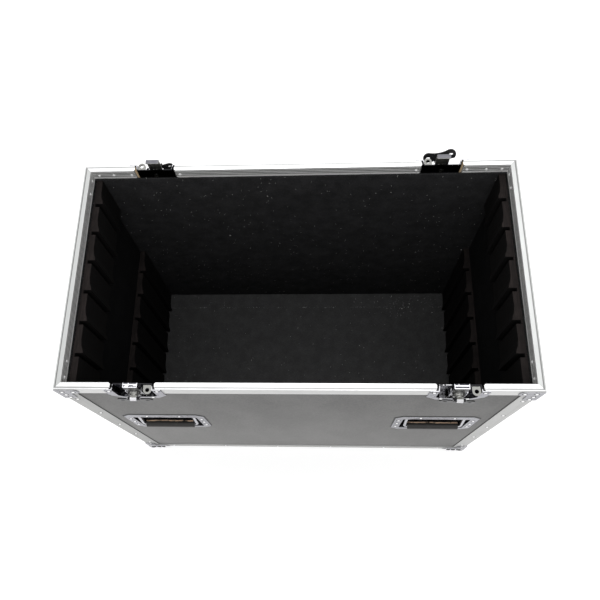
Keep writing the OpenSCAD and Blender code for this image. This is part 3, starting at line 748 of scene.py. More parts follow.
@dataclass(frozen=True)
class Plain(Finish):
    """Matt stuff seen only as a line or a speck, with a little mottling."""

    colour: Colour = (0.01, 0.01, 0.01)
    rough: float = 0.8

    def paint(self, graph: Graph) -> None:
        """Noise mottles the one colour.

        Args:
            graph: The material's empty graph.
        """
        mottle = graph.noise(graph.place(), 300, 3)
        dark = tuple(0.7 * c for c in self.colour)
        graph.surface(
            base_color=graph.mix(mottle, dark, self.colour),
            roughness=self.rough - 0.2 * mottle,
        )


LAMINATE = Laminate("laminate", "laminate")
CARPET = Felt("carpet", "carpet", (0.0125, 0.0125, 0.013), (0.044, 0.044, 0.046), lint=0.045, fleck=0.2)
# Painted shade: a darker copy of the wall felt, for the end walls, where light falls at a graze.
SHADED_END_CARPET = Felt(
    "shaded_end_carpet", "carpet", (0.0045, 0.0045, 0.0048), (0.014, 0.014, 0.0145), lint=0.05, fleck=0.12
)
MAT = Felt("floor_mat", "floor_mat", (0.050, 0.050, 0.0505), (0.105, 0.105, 0.107), 500.0, 0.03, 0.4)
BOARD = StainedBoard("comb_board", "comb")
# Lit and shaded copies of one rim finish, besides their grain: the side rims' tops are painted darker, as
# they catch less light.
RIM_X = RimMetal("rim_along_x", "rim", Grain.ALONG_X, (0.96, 0.965, 0.97))
RIM_Y = RimMetal("rim_along_y", "rim", Grain.ALONG_Y, (0.56, 0.57, 0.565), half=0.400, across="X")
ANGLE_X = AngleMetal("angle_along_x", "angle", Grain.ALONG_X)
ANGLE_Y = AngleMetal("angle_along_y", "angle", Grain.ALONG_Y)
ANGLE_Z = AngleMetal("angle_along_z", "angle", Grain.ALONG_Z)
CORNER = Plated(
    "corner_plating", "corner_plate", (0.50, 0.50, 0.51), (0.26, 0.26, 0.27), rough=0.2, wave=0.4
)
LATCH_DISH = DishPlating("latch_dish_plating", "dish")
# The handle's dish is left free of painted shade in fewer patches.
HANDLE_DISH = DishPlating("handle_dish_plating", "dish", clean=0.60)
# Painted shade: the hub is toned darker deeper in the dish than at its outermost part.
HUB = HookPlating(
    "hub_plating", "latch_steel", body=(0.55, 0.55, 0.56), shaded_from=0.2265, deep_shade=(0.30, 0.30, 0.27)
)
# Painted light: the front and back hooks are lit and shaded copies of one plating.
FRONT_HOOK = HookPlating(
    "front_hook_plating", "latch_steel", top=(0.80, 0.80, 0.83), tray=(0.05, 0.05, 0.06)
)
BACK_HOOK = HookPlating(
    "back_hook_plating",
    "latch_steel",
    rough=0.3,
    wave=0.3,
    top=(0.17, 0.17, 0.185),
    body=(0.50, 0.50, 0.42),
    tray=(0.14, 0.14, 0.155),
)
BAIL = Plated("bail_plating", "bail", rough=0.16, wave=0.2)
WING = BlackCoat("wing_coat", "wing_black")
GRIP = Rubber("grip_rubber", "grip")
RIVET = Aluminium(
    "rivet_head", "rivet", Grain.NONE, (0.88, 0.88, 0.89), (0.95, 0.95, 0.95), 0.3, oxide=0.8
)
# Dark line for the seams and for the rings round the rivets, and for the painted shadows above the ball
# corners' legs and round the handles' plates.
SEAM_AND_SHADOW = Plain("seam_and_shadow", "angle", (0.012, 0.012, 0.012), 0.7)
LINT = Plain("lint", "floor_mat", (0.85, 0.85, 0.82), 0.9)
FIBRE = Plain("felt_fibre", "carpet", (0.045, 0.045, 0.046), 0.9)


def dress(node: str, finish: Finish) -> None:
    """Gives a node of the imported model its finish.

    Args:
        node: The node's name.
        finish: What it is finished in.
    """
    piece = frame["nodes"][node]
    piece.data.materials.clear()
    piece.data.materials.append(finish.material())


def mesh_piece(
    name: str,
    points: np.ndarray,
    faces: np.ndarray,
    finish: Finish,
    smooth: bool = True,
    body: str = "case",
) -> bpy.types.Object:
    """Makes a piece from arrays and lets it ride on a body.

    Args:
        name: The piece's name.
        points: Its points, in an array of any shape whose last axis is X, Y, Z.
        faces: Its faces as rows of point numbers, all with as many corners.
        finish: What it is finished in.
        smooth: Whether its faces are shaded smooth.
        body: The body that carries it.

    Returns:
        The piece.
    """
    mesh = bpy.data.meshes.new(name)
    corners = faces.shape[1]
    mesh.vertices.add(points.size // 3)
    mesh.vertices.foreach_set("co", points.astype(np.float32).ravel())
    mesh.loops.add(faces.size)
    mesh.loops.foreach_set("vertex_index", faces.astype(np.int32).ravel())
    mesh.polygons.add(len(faces))
    mesh.polygons.foreach_set("loop_start", np.arange(len(faces), dtype=np.int32) * corners)
    mesh.polygons.foreach_set("use_smooth", np.full(len(faces), smooth))
    mesh.update(calc_edges=True)
    mesh.validate()
    mesh.materials.append(finish.material())
    piece = bpy.data.objects.new(name, mesh)
    bpy.context.scene.collection.objects.link(piece)
    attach(piece, body)
    LOG.info("%s: %d faces, rides on %s", name, len(faces), body)
    return piece


def tube_faces(rings: int, sides: int) -> np.ndarray:
    """Faces of a tube whose points run ring by ring.

    Point k of ring r is number r * sides + k, and the last point of a ring joins its first.

    Args:
        rings: The number of rings.
        sides: The points in each ring.

    Returns:
        Quads as rows of point numbers, facing outwards where the rings run anticlockwise,
        seen from the last one.
    """
    ring, side = np.meshgrid(np.arange(rings - 1), np.arange(sides), indexing="ij")
    here = ring * sides + side
    beside = ring * sides + (side + 1) % sides
    return np.stack([here, beside, beside + sides, here + sides], axis=-1).reshape(-1, 4)


def copies(faces: np.ndarray, size: int, count: int) -> np.ndarray:
    """Returns the faces of count copies of a shape with size points, whose points run on."""
    return (faces + size * np.arange(count)[:, None, None]).reshape(-1, faces.shape[1])


def tube(path: np.ndarray, radius: float, sides: int) -> tuple[np.ndarray, np.ndarray]:
    """A round bar along a path that never runs along X.

    Each ring is centre + radius * (cos a * side + sin a * over), where side is the path's
    direction crossed with X, and over is side crossed with the direction.

    Args:
        path: The centres of the rings, N by 3.
        radius: The bar's radius.
        sides: The points in each ring.

    Returns:
        Its points and its quads; the ends are open.
    """
    ahead = np.gradient(path, axis=0)
    ahead /= np.linalg.norm(ahead, axis=1, keepdims=True)
    side = np.cross(ahead, [1.0, 0.0, 0.0])
    side /= np.linalg.norm(side, axis=1, keepdims=True)
    over = np.cross(side, ahead)
    turn = np.arange(sides) * (2 * np.pi / sides)
    ring = np.cos(turn)[None, :, None] * side[:, None] + np.sin(turn)[None, :, None] * over[:, None]
    return path[:, None] + radius * ring, tube_faces(len(path), sides)


@dataclass
class FeltSheet:
    """One sheet of felt, glued to a wall as its lining or laid on the floor as the mat."""

    node: str
    finish: Felt
    held: Held
    rests_on: str
    swell: float = 0.4 * MM
    rounding: float = 1.3 * MM
    pocket: float = 1.8 * MM
    step: float = 7.0 * MM
    round_steps: int = 5
    waves: int = 8
    wave_lengths: tuple[float, float] = (0.03, 0.16)
    seed: int = 3

    def lines(self, low: float, high: float) -> np.ndarray:
        """Even places from low to high, with more of them at both rounded edges.

        Args:
            low: The first place.
            high: The last place.

        Returns:
            The places, low + r * (1 - cos a) and high - r * (1 - cos a) among them.
        """
        even = np.linspace(low, high, max(2, round((high - low) / self.step)) + 1)
        near = self.rounding * (1 - np.cos(np.linspace(0, np.pi / 2, self.round_steps)))
        return np.unique(np.concatenate([even, low + near, high - near]))

    def relief(self, across: np.ndarray, up: np.ndarray) -> np.ndarray:
        """Slow waves of the felt's thickness, as heights from 0 to 1 on a grid of places.

        The height is the mean of some sines with random directions, lengths and phases,
        brought to the range from 0 to 1.

        Args:
            across: The places along the sheet.
            up: The places up the sheet.

        Returns:
            The heights.
        """
        rng = np.random.default_rng(self.seed + len(self.node))
        angle, phase = rng.uniform(0, 2 * np.pi, (2, self.waves, 1, 1))
        turns = 2 * np.pi / rng.uniform(*self.wave_lengths, (self.waves, 1, 1))
        waves = np.sin(turns * (np.cos(angle) * across + np.sin(angle) * up) + phase)
        return 0.5 + 0.5 * waves.mean(axis=0)

    def build(self) -> None:
        """Makes the sheet as a front and a back grid joined round the edge.

        The front lies at thickness - swell * relief - r * (1 - sqrt(1 - (1 - d / r)^2)) above
        the back, where d is the distance to the edge, at most the rounding r, and the relief
        is left out at the very edge. The back is hollowed where a handle's pan stands out of
        the wall.
        """
        low, high = (np.array(corner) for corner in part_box(self.node))
        thin = int(np.argmin(high - low))
        run, rise = (axis for axis in range(3) if axis != thin)
        inward = 1.0 if low[thin] + high[thin] < 0 or thin == 2 else -1.0
        back = low[thin] if inward > 0 else high[thin]
        grid = (self.lines(low[axis], high[axis]) for axis in (run, rise))
        across, up = np.meshgrid(*grid, indexing="ij")
        edge = np.minimum.reduce([across - low[run], high[run] - across, up - low[rise], high[rise] - up])
        near = 1 - np.clip(edge / self.rounding, 0, 1)
        depth = (high - low)[thin] - self.swell * self.relief(across, up) * (near < 1)
        depth -= self.rounding * (1 - np.sqrt(1 - near**2))
        hollow = np.zeros_like(depth)
        if thin == 1:
            for place in Place:
                (left, _, bottom), (right, _, top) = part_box(f"handle_dish_{place.value}")
                inside = (across > left) & (across < right) & (up > bottom) & (up < top)
                hollow[inside] = self.pocket
        front, rear = np.empty((2, *across.shape, 3))
        for sheet, level in ((front, depth), (rear, hollow)):
            sheet[..., run], sheet[..., rise], sheet[..., thin] = across, up, back + inward * level
        rows, columns = across.shape
        number = np.arange(rows * columns).reshape(rows, columns)
        corners = number[:-1, :-1], number[1:, :-1], number[1:, 1:], number[:-1, 1:]
        quads = np.stack(corners, -1).reshape(-1, 4)
        rim = np.concatenate([number[:-1, 0], number[-1, :-1], number[:0:-1, -1], number[0, :0:-1]])
        after = np.roll(rim, -1)
        wall = np.stack([rim, rim + rows * columns, after + rows * columns, after], -1)
        faces = np.concatenate([quads, quads[:, ::-1] + rows * columns, wall])
        if (inward > 0) == (thin == 1):
            faces = faces[:, ::-1]
        piece = mesh_piece(f"felt_{self.node}", np.stack([front, rear]), faces, self.finish)
        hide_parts(self.node)


@dataclass
class Walls:
    """Panels, lining, floor mat and the fine stuff that lies on them."""

    # Fibres on the lining's top edge. The leans and droops are shares of a fibre's length,
    # and a pair is a mean and its spread, or the ends of a range.
    fibre_length: float = 3.4 * MM
    fibre_radius: float = 0.15 * MM
    fibre_share: tuple[float, float] = (0.4, 1.1)
    fibre_taper: float = 0.8
    droop: float = 0.45
    lean_aside: float = 0.5
    lean_in: tuple[float, float] = (0.45, 0.35)
    stand: tuple[float, float] = (0.6, 0.4)
    fibres_per_metre: int = 2600
    fringe_depth: float = 1.8 * MM
    fringe_rise: float = 0.6 * MM
    tuft: float = 4.0 * MM
    tuft_height: tuple[float, float] = (0.1, 1.5)
    # Flecks of lint. Some gather towards the mat's back right corner, and the trail is a
    # thin line of them along the mat's back.
    lint_count: int = 240
    lint_size: float = 0.44 * MM
    lint_margin: float = 8.0 * MM
    lint_lift: float = 0.1 * MM
    lint_flat: float = 0.4
    lint_height: tuple[float, float] = (0.10, 0.58)
    gathered_at: tuple[float, float] = (0.86, 0.93)
    gathered_spread: tuple[float, float] = (0.06, 0.05)
    trail_count: int = 190
    trail_from_back: float = 40.0 * MM
    trail_wander: float = 0.7 * MM
    trail_pitch: float = 70.0 * MM
    trail_drift: float = 12.0 * MM
    trail_size: float = 0.8
    seed: int = 11

    def dress(self) -> None:
        """Finishes the panels, and lays the felt of the walls and the floor."""
        dress("panel_bottom", LAMINATE)
        for side in Side:
            dress(f"panel_{side.value}", LAMINATE)
            # The end walls get the darker copy of the felt, as painted shade.
            felt = CARPET if side.is_long else SHADED_END_CARPET
            FeltSheet(f"lining_{side.value}", felt, Held.GLUED, f"panel_{side.value}").build()
        FeltSheet("floor_mat", MAT, Held.LAID, "panel_bottom", pocket=0.0).build()

    def strands(
        self, roots: np.ndarray, lean: np.ndarray, rng: np.random.Generator
    ) -> tuple[np.ndarray, np.ndarray]:
        """Three-sided bent hairs that taper to a point.

        A hair's centre line is root + s * lean + s^2 * droop for s from 0 to 1, and its
        radius falls as 1 - taper * s. All the hairs are worked out as one array.

        Args:
            roots: Where the hairs start, N by 3.
            lean: Their directions times their lengths, N by 3.
            rng: The source of their droop.

        Returns:
            Their points and their triangles.
        """
        count = len(roots)
        droop = rng.normal(0, self.droop, (count, 3)) * self.fibre_length
        share = np.array([0.0, 0.4, 0.75, 1.0])[None, :, None]
        centre = roots[:, None] + share * lean[:, None] + share**2 * droop[:, None]
        turn = np.arange(3) * (2 * np.pi / 3)
        across = np.stack([np.cos(turn), np.sin(turn), np.zeros(3)], axis=-1)
        radius = self.fibre_radius * (1 - self.fibre_taper * share)[..., None]
        points = centre[:, :, None] + radius * across[None, None]
        quads = tube_faces(4, 3)
        one = np.concatenate([quads[:, [0, 1, 2]], quads[:, [0, 2, 3]], [[2, 1, 0]], [[9, 10, 11]]])
        return points, copies(one, 12, count)

    def fringe(self, side: Side) -> None:
        """Grows loose fibres along the top edge of one wall's lining, taller in tufts.

        Args:
            side: The wall.
        """
        rng = np.random.default_rng(self.seed + len(side.value) * 7)
        low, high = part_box(f"lining_{side.value}")
        run = 0 if side.is_long else 1
        wall = 1 - run
        count = int((high[run] - low[run]) * self.fibres_per_metre)
        inner = low[wall] if side.sign > 0 else high[wall]
        roots = np.empty((count, 3))
        roots[:, run] = rng.uniform(low[run], high[run], count)
        roots[:, wall] = inner + side.sign * rng.uniform(0, self.fringe_depth, count)
        roots[:, 2] = high[2] - rng.uniform(0, self.fringe_rise, count)
        kept = ~self.near_latch(roots[:, run]) if side.is_long else np.ones(count, bool)
        lean = rng.normal(0, self.lean_aside, (count, 3))
        lean[:, wall] = -side.sign * np.abs(rng.normal(*self.lean_in, count))
        knots = np.linspace(low[run], high[run], int((high[run] - low[run]) / self.tuft))
        tall = np.interp(roots[:, run], knots, rng.uniform(*self.tuft_height, len(knots)))
        lean[:, 2] = np.abs(rng.normal(*self.stand, count)) * tall
        lean *= self.fibre_length * rng.uniform(*self.fibre_share, (count, 1))
        points, faces = self.strands(roots[kept], lean[kept], rng)
        mesh_piece(f"felt_fringe_{side.value}", points, faces, FIBRE)

    def near_latch(self, across: np.ndarray) -> np.ndarray:
        """Tells which places along a long wall lie within a latch's cut.

        Args:
            across: The places.

        Returns:
            True for each place within a cut.
        """
        inside = np.zeros(len(across), bool)
        for place in Place:
            low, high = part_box(f"latch_dish_{place.value}")
            inside |= (across > low[0]) & (across < high[0])
        return inside

    def scatter_lint(self) -> None:
        """Scatters flecks of lint over the mat and the back lining, some in a line on the mat.

        A fleck is an octahedron with its points drawn out at random and squashed flat on the
        felt. The flecks of the line bunch every trail_pitch along it.
        """
        rng = np.random.default_rng(self.seed)
        low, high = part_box("floor_mat")
        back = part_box("lining_back")[0][1]
        count = self.lint_count + self.trail_count
        on_mat = self.lint_count // 2 + self.trail_count
        spread = rng.uniform(0, 1, (count, 3))
        gathered = on_mat // 3
        for axis, (at, wide) in enumerate(zip(self.gathered_at, self.gathered_spread)):
            spread[:gathered, axis] = np.clip(rng.normal(at, wide, gathered), 0, 1)
        margin = self.lint_margin
        centre = np.empty((count, 3))
        for axis in range(2):
            room = high[axis] - low[axis] - 2 * margin
            centre[:, axis] = low[axis] + margin + spread[:, axis] * room
        centre[:, 2] = high[2] + self.lint_lift
        centre[on_mat:, 1] = back - self.lint_lift
        lowest, highest = self.lint_height
        centre[on_mat:, 2] = lowest + spread[on_mat:, 2] * (highest - lowest)
        trail = slice(on_mat - self.trail_count, on_mat)
        wander = rng.normal(0, self.trail_wander, self.trail_count)
        drift = rng.normal(0, self.trail_drift, self.trail_count)
        clumped = np.round(centre[trail, 0] / self.trail_pitch) * self.trail_pitch
        centre[trail, 1] = high[1] - self.trail_from_back + wander
        centre[trail, 0] = np.clip(clumped + drift, low[0] + margin, high[0] - margin)
        size = self.lint_size * rng.lognormal(-0.2, 0.5, (count, 1, 1))
        size[trail] *= self.trail_size
        axes = np.concatenate([np.eye(3), -np.eye(3)])
        shape = axes[None] * rng.uniform(0.5, 1.5, (count, 6, 1)) * size
        shape[:on_mat, :, 2] *= self.lint_flat
        shape[on_mat:, :, 1] *= self.lint_flat
        points = centre[:, None] + shape
        round_z = np.array([[0, 1], [1, 3], [3, 4], [4, 0]])
        one = np.concatenate([np.insert(round_z, 2, 2, axis=1), np.insert(round_z[:, ::-1], 2, 5, axis=1)])
        mesh_piece("lint", points, copies(one, 6, count), LINT, smooth=False)

    def build(self) -> None:
        """Dresses the walls and adds their fibres and lint."""
        self.dress()
        for side in Side:
            self.fringe(side)
        self.scatter_lint()


@dataclass
class Edging:
    """Rims, angles, corner pieces and rivets, with the dark seams beside the angles."""

    # The seams' sections, the rings round the rivets, and the painted shadows above the corners' legs.
    # inside is how far from the middle, by axis, a rivet has to lie to get a ring.
    seam_width: float = 2.0 * MM
    seam_height: float = 1.6 * MM
    seam_sunk: float = 0.1 * MM
    seam_steps: int = 5
    weld: float = 0.02 * MM
    ring: tuple[float, float] = (0.9, 1.45)
    ring_sides: int = 14
    proud: float = 0.15 * MM
    inside: Vector3 = (0.3885, 0.2035, 0.0)
    leg_top: float = 27.0 * MM
    mark_rise: float = 8.0 * MM
    mark_proud: float = 0.3 * MM
    mark_depth: float = 1.8 * MM
    marks: tuple[tuple[float, float], ...] = ((0.018, 0.028), (0.032, 0.041), (0.044, 0.052))

    def dress(self) -> None:
        """Finishes the extrusions, the corner pieces and the rivets."""
        for side in Side:
            along_x = side.is_long
            dress(f"rim_{side.value}", RIM_X if along_x else RIM_Y)
            dress(f"bottom_angle_{side.value}", ANGLE_X if along_x else ANGLE_Y)
        for place in Place:
            dress(f"corner_angle_{place.value}", ANGLE_Z)
            dress(f"ball_corner_{place.value}", CORNER)
        dress("corner_braces", CORNER)
        dress("rivets", RIVET)

    def seam(self, name: str, start: Vector3, end: Vector3, out: np.ndarray, away: np.ndarray) -> None:
        """A thin fillet between a panel's face and the edge of an angle.

        Its section is a quarter hollow: from the angle's edge, at height h above the panel,
        to the panel at distance w, with h = height * (1 - sin t) and w = width * (1 - cos t).

        Args:
            name: The piece's name.
            start: One end of the inner corner.
            end: The other end.
            out: The panel's outward direction.
            away: The direction away from the angle, along the panel.
        """
        turn = np.linspace(0, np.pi / 2, self.seam_steps)[:, None]
        height = (1 - np.sin(turn)) * self.seam_height
        width = (1 - np.cos(turn)) * self.seam_width
        section = np.concatenate([height * out + width * away, [-self.seam_sunk * out]])
        points = np.array([start, end])[:, None] + section
        mesh_piece(name, points, tube_faces(2, len(section)), SEAM_AND_SHADOW, smooth=False)

    def rivet_rings(self) -> None:
        """Lays a dark ring round every rivet's head but those inside the rims.

        The rivets are one mesh, so its loose parts are told apart first: every point takes
        the lowest number among its neighbours until nothing changes. A ring lies on the
        plate, and its inner and outer radius are the head's radius times the two of ring.
        """
        mesh = frame["nodes"]["rivets"].data
        points = np.empty((len(mesh.vertices), 3), np.float32)
        mesh.vertices.foreach_get("co", points.ravel())
        edges = np.empty((len(mesh.edges), 2), np.int32)
        mesh.edges.foreach_get("vertices", edges.ravel())
        spots = np.round(points / self.weld).astype(int)
        welded = np.unique(spots, axis=0, return_inverse=True)[1].ravel()
        first, second = welded[edges].T
        label = np.arange(welded.max() + 1)
        before = label - 1
        while (before != label).any():
            before = label.copy()
            np.minimum.at(label, first, label[second])
            np.minimum.at(label, second, label[first])
        head = np.unique(label[welded], return_inverse=True)[1]
        low, high = np.full((2, head.max() + 1, 3), np.array([np.inf, -np.inf])[:, None, None])
        np.minimum.at(low, head, points)
        np.maximum.at(high, head, points)
        thin = np.argmin(high - low, axis=1)
        reach = np.take_along_axis(abs(low + high) / 2, thin[:, None], axis=1)[:, 0]
        outer = reach >= np.array(self.inside)[thin]
        low, high, thin = low[outer], high[outer], thin[outer]
        centre, count = (low + high) / 2, np.arange(len(low))
        away = np.sign(centre[count, thin])
        centre[count, thin] = np.where(away > 0, low[count, thin], high[count, thin]) + away * self.proud
        share = np.array(self.ring)[:, None, None]
        radius = (high - low).max(axis=1)[:, None, None, None] / 2 * share
        turn = np.arange(self.ring_sides)[:, None] * (2 * np.pi / self.ring_sides)
        run, rise = (np.eye(3)[(thin + step) % 3][:, None, None] for step in (1, 2))
        rings = centre[:, None, None] + radius * (np.cos(turn) * run + np.sin(turn) * rise)
        faces = copies(tube_faces(2, self.ring_sides), 2 * self.ring_sides, len(rings))
        mesh_piece("rivet_rings", rings, faces, SEAM_AND_SHADOW, smooth=False)

    def leaf_shadows(self, place: Place) -> None:
        """Lays short dark marks above the long leg of a ball corner on the long side, as painted shadow.

        Each mark is a strip that slopes from the leg's top edge to the bottom angle. Its
        section is given as shares of how far it lies behind the leg's face and how far up.

        Args:
            place: The corner.
        """
        low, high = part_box(f"ball_corner_{place.value}")
        corner = low[0] if place.x_sign < 0 else high[0]
        face = low[1] if place.y_sign < 0 else high[1]
        behind, up = np.tile(np.array([[0.0, 0.5, 0.9, 0.0], [0.0, 0.0, 1.0, 1.0]]), 2)
        across = corner - place.x_sign * np.repeat(np.array(self.marks), 4, axis=1)
        out = face + place.y_sign * (self.mark_proud - self.mark_depth * behind)
        rise = self.leg_top + self.mark_rise * up
        points = np.stack(np.broadcast_arrays(across, out, rise), axis=-1)
        faces = copies(tube_faces(2, 4), 8, len(across))
        mesh_piece(f"leaf_shadows_{place.value}", points, faces, SEAM_AND_SHADOW, smooth=False)

    def build(self) -> None:
        """Dresses the edging and lays a seam beside each upright angle's legs."""
        self.dress()
        self.rivet_rings()
        face_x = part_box("panel_right")[1][0]
        for place in Place:
            self.leaf_shadows(place)
        for place in Place:
            low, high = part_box(f"corner_angle_{place.value}")
            x_edge = high[0] if place.x_sign < 0 else low[0]
            y_edge = high[1] if place.y_sign < 0 else low[1]
            x_out, y_out = np.diag([place.x_sign, place.y_sign, 0])[:2]
            for name, x, y, out, away in (
                ("long", x_edge, place.y_sign * PANEL_FACE, y_out, -x_out),
                ("end", place.x_sign * face_x, y_edge, x_out, -y_out),
            ):
                self.seam(f"seam_{name}_{place.value}", (x, y, low[2]), (x, y, high[2]), out, away)


@dataclass
class Dividers:
    """The slotted combs on the end walls."""

    def build(self) -> None:
        """Finishes the four combs."""
        for level in ("upper", "lower"):
            for end in ("left", "right"):
                dress(f"comb_{level}_{end}", BOARD)
        LOG.info("combs dressed")


@dataclass
class Latch:
    """One butterfly latch: dish, hub, wing and hook arm."""

    place: Place

    def build(self) -> None:
        """Finishes the latch's four pieces."""
        dress(f"latch_dish_{self.place.value}", LATCH_DISH)
        dress(f"latch_hub_{self.place.value}", HUB)
        dress(f"latch_wing_{self.place.value}", WING)
        # The front and back hooks get lit and shaded copies of one plating: painted light.
        dress(f"hook_arm_{self.place.value}", FRONT_HOOK if self.place.y_sign < 0 else BACK_HOOK)
        LOG.info("latch %s dressed", self.place.value)


@dataclass
class Handle:
    """One recessed handle: dish, bail and grip, and the springs on the bail's pivots."""

    place: Place
    # The springs' wire and coils, then the painted shadow round the plate: its heights above the
    # panel run from the plate outwards.
    wire: float = 0.6 * MM
    coil: float = 3.8 * MM
    coil_start: float = 60.3 * MM
    coil_end: float = 64.0 * MM
    turns: int = 3
    turn_steps: int = 16
    wire_sides: int = 8
    leg: float = 17.0 * MM
    leg_steps: int = 5
    corner_cut: float = 14.0 * MM
    line: float = 3.5 * MM
    line_below: float = 0.3
    line_kerf: float = 0.15 * MM
    line_tuck: float = 0.998
    line_rise: Vector3 = (-0.2 * MM, 1.45 * MM, 0.05 * MM)

    def spring(self, pivot: np.ndarray, side: int) -> None:
        """Winds one spring round a pivot pin.

        The wire runs up one leg along the back of the recess, then round the pin on
        (x, y, z) = (x0 + t * (x1 - x0), r * cos a, r * sin a) for a = 2 pi * turns * t, and
        down a second leg beside the first.

        Args:
            pivot: The middle of the bail's pivot axis.
            side: -1 for the spring on the left and 1 for the right.
        """
        share = np.linspace(0, 1, self.turn_steps * self.turns + 1)
        angle = 2 * np.pi * self.turns * share
        inward = -self.place.y_sign
        coil = np.stack([
            side * (self.coil_start + (self.coil_end - self.coil_start) * share),
            inward * self.coil * np.cos(angle),
            self.coil * np.sin(angle),
        ], axis=-1)
        down = np.linspace(1, 0, self.leg_steps + 1)[:-1, None] * np.array([0.0, 0.0, -self.leg])
        path = np.concatenate([coil[0] + down, coil, (coil[-1] + down)[::-1]])
        points, faces = tube(pivot + path, self.wire, self.wire_sides)
        name = f"spring_{self.place.value}_{'left' if side < 0 else 'right'}"
        mesh_piece(name, points, faces, BAIL)

    def outline(self) -> None:
        """Lays a dark line of painted shadow on the panel round the handle's plate, wider along its top.

        The line runs from the plate's outline, a rectangle with cut corners, to the same
        outline moved out by w along the mitre of both edges: w * (n0 + n1) / (1 + n0 . n1).
        Below the plate's middle w is line_below times as large.
        """
        low, high = (np.array(corner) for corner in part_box(f"handle_dish_{self.place.value}"))
        middle = (low + high) / 2
        half_w, half_h = (high[0] - low[0]) / 2, (high[2] - low[2]) / 2
        cut = self.corner_cut
        quarter = np.array([[half_w, half_h - cut], [half_w - cut, half_h]])
        loop = np.concatenate([quarter, quarter[::-1] * [-1, 1], -quarter, quarter[::-1] * [1, -1]])
        ahead = np.roll(loop, -1, axis=0) - loop
        normal = np.stack([ahead[:, 1], -ahead[:, 0]], -1) / np.linalg.norm(ahead, axis=1, keepdims=True)
        before = np.roll(normal, 1, axis=0)
        mitre = (normal + before) / (1 + (normal * before).sum(axis=1, keepdims=True))
        width = np.where(loop[:, 1:] > 0, self.line, self.line_below * self.line)
        outer = loop + width * mitre
        rings = np.stack([loop * self.line_tuck, loop + self.line_kerf * mitre, outer])
        face = self.place.y_sign * PANEL_FACE
        out = face + self.place.y_sign * np.array(self.line_rise)
        points = np.empty((3, len(loop), 3))
        points[..., 0], points[..., 2] = middle[0] + rings[..., 0], middle[2] + rings[..., 1]
        points[..., 1] = out[:, None]
        name = f"plate_shadow_{self.place.value}"
        mesh_piece(name, points, tube_faces(3, len(loop)), SEAM_AND_SHADOW, smooth=False)

    def build(self) -> None:
        """Finishes the handle's three pieces and adds its springs and the painted shadow round its plate.
        """
        self.outline()
        dress(f"handle_dish_{self.place.value}", HANDLE_DISH)
        dress(f"handle_bail_{self.place.value}", BAIL)
        dress(f"handle_grip_{self.place.value}", GRIP)
        swings = {joint["name"]: joint for joint in frame["record"]["behaviour"]["joints"]}
        pivot = np.array(swings[f"handle_swing_{self.place.value}"]["pos_m"])
        for side in (-1, 1):
            self.spring(pivot, side)
        LOG.info("handle %s dressed", self.place.value)


@dataclass
class Softbox:
    """One rectangular area light."""

    name: str
    centre: Vector3
    target: Vector3
    width: float
    height: float
    power: float

    def build(self) -> None:
        """Makes the light and aims it at its target."""
        light = bpy.data.lights.new(self.name, "AREA")
        light.shape = "RECTANGLE"
        light.size = self.width
        light.size_y = self.height
        light.energy = self.power
        lamp = bpy.data.objects.new(self.name, light)
        bpy.context.scene.collection.objects.link(lamp)
        away = np.array(self.centre) - np.array(self.target)
        lamp.location = self.centre
        lamp.rotation_euler = (
            math.atan2(math.hypot(away[0], away[1]), away[2]),
            0.0,
            math.atan2(away[1], away[0]) + math.pi / 2,
        )


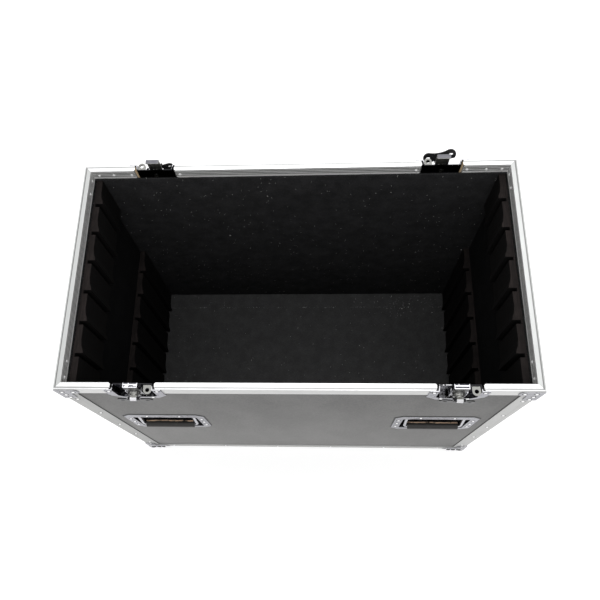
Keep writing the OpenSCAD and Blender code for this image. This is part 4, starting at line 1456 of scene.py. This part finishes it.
@dataclass
class Studio:
    """Pale floor, soft lights, surroundings and the photograph's camera."""

    floor_size: float = 14.0
    floor_glow: float = 0.30
    eye: Vector3 = (0.0462, -0.4489, 1.6375)
    turn_deg: Vector3 = (20.332, 3.431, 1.082)
    focal_px: float = 628.4
    image_px: float = 600.0
    sensor_mm: float = 36.0
    centre_px: tuple[float, float] = (282.4, 312.0)
    near_clip: float = 0.05
    ceiling: float = 1.15
    side_drop: float = 0.55
    flags: float = 0.60
    boxes: list[Softbox] = field(default_factory=lambda: [
        Softbox("top_box", (0.1, 0.9, 2.9), (0.0, 0.0, 0.4), 2.6, 1.8, 16.0),
        Softbox("front_box", (0.1, -1.6, 2.6), (0.0, 0.1, 0.3), 1.2, 1.0, 14.0),
    ])

    def floor(self) -> None:
        """Lays the floor under the case."""
        half = self.floor_size / 2
        points = np.array([[-half, -half, 0], [half, -half, 0], [half, half, 0], [-half, half, 0]], float)
        mesh = bpy.data.meshes.new("floor")
        mesh.from_pydata(points.tolist(), [], [(0, 1, 2, 3)])
        material = bpy.data.materials.new("floor")
        material.use_nodes = True
        graph = Graph(material.node_tree)
        graph.surface(
            base_color=(0.93, 0.93, 0.93),
            roughness=0.9,
            specular_ior_level=0.0,
            emission_color=(1.0, 1.0, 1.0),
            emission_strength=self.floor_glow,
        )
        mesh.materials.append(material)
        floor = bpy.data.objects.new("floor", mesh)
        bpy.context.scene.collection.objects.link(floor)

    def surroundings(self) -> None:
        """Makes a white room, dimmer to both sides, with grey flags above the horizon.

        The metal shows them. Below about 5 degrees up the room is plain white.
        """
        world = bpy.data.worlds.new("studio")
        bpy.context.scene.world = world
        world.use_nodes = True
        graph = Graph(world.node_tree)
        way = graph.node("ShaderNodeTexCoord", out="Generated")
        aside = abs(graph.along(way, "X"))
        bands = graph.noise(graph.stretch(way, (1, 1, 0.25)), 2.6, 1).ramp(0.50, 0.60)
        height = graph.along(way, "Z")
        low = graph.band(height, 0.28, 0.42, 0.1)
        raised = height.ramp(0.08, 0.3)
        level = (self.ceiling - self.side_drop * aside * raised) * (1.0 - self.flags * bands * low)
        shade = graph.node("ShaderNodeBackground", sockets={"Color": (1.0, 1.0, 1.0), "Strength": level})
        graph.node("ShaderNodeOutputWorld", sockets={"Surface": shade})

    def camera(self) -> None:
        """Sets the camera that was fitted to the photograph's edges."""
        data = bpy.data.cameras.new("photo_camera")
        data.sensor_width = self.sensor_mm
        data.lens = self.focal_px / self.image_px * self.sensor_mm
        data.shift_x = (self.image_px / 2 - self.centre_px[0]) / self.image_px
        data.shift_y = (self.centre_px[1] - self.image_px / 2) / self.image_px
        data.clip_start = self.near_clip
        camera = bpy.data.objects.new("photo_camera", data)
        camera.location = self.eye
        camera.rotation_euler = tuple(math.radians(a) for a in self.turn_deg)
        bpy.context.scene.collection.objects.link(camera)
        bpy.context.scene.camera = camera

    def build(self) -> None:
        """Makes the camera, the floor, the lights and the surroundings."""
        self.camera()
        self.floor()
        for box in self.boxes:
            box.build()
        self.surroundings()
        bpy.context.scene.view_settings.view_transform = "Standard"


def build_all(parts: Iterable[Any]) -> None:
    """Builds the sub-assemblies in order."""
    for part in parts:
        part.build()


def main() -> None:
    """Builds the studio, then the case from its walls outwards."""
    logging.basicConfig(level=logging.INFO, format="%(name)s: %(message)s")
    build_all([Studio(), Walls(), Dividers(), Edging()])
    build_all(Latch(place) for place in Place)
    build_all(Handle(place) for place in Place)


if __name__ == "__main__":
    main()
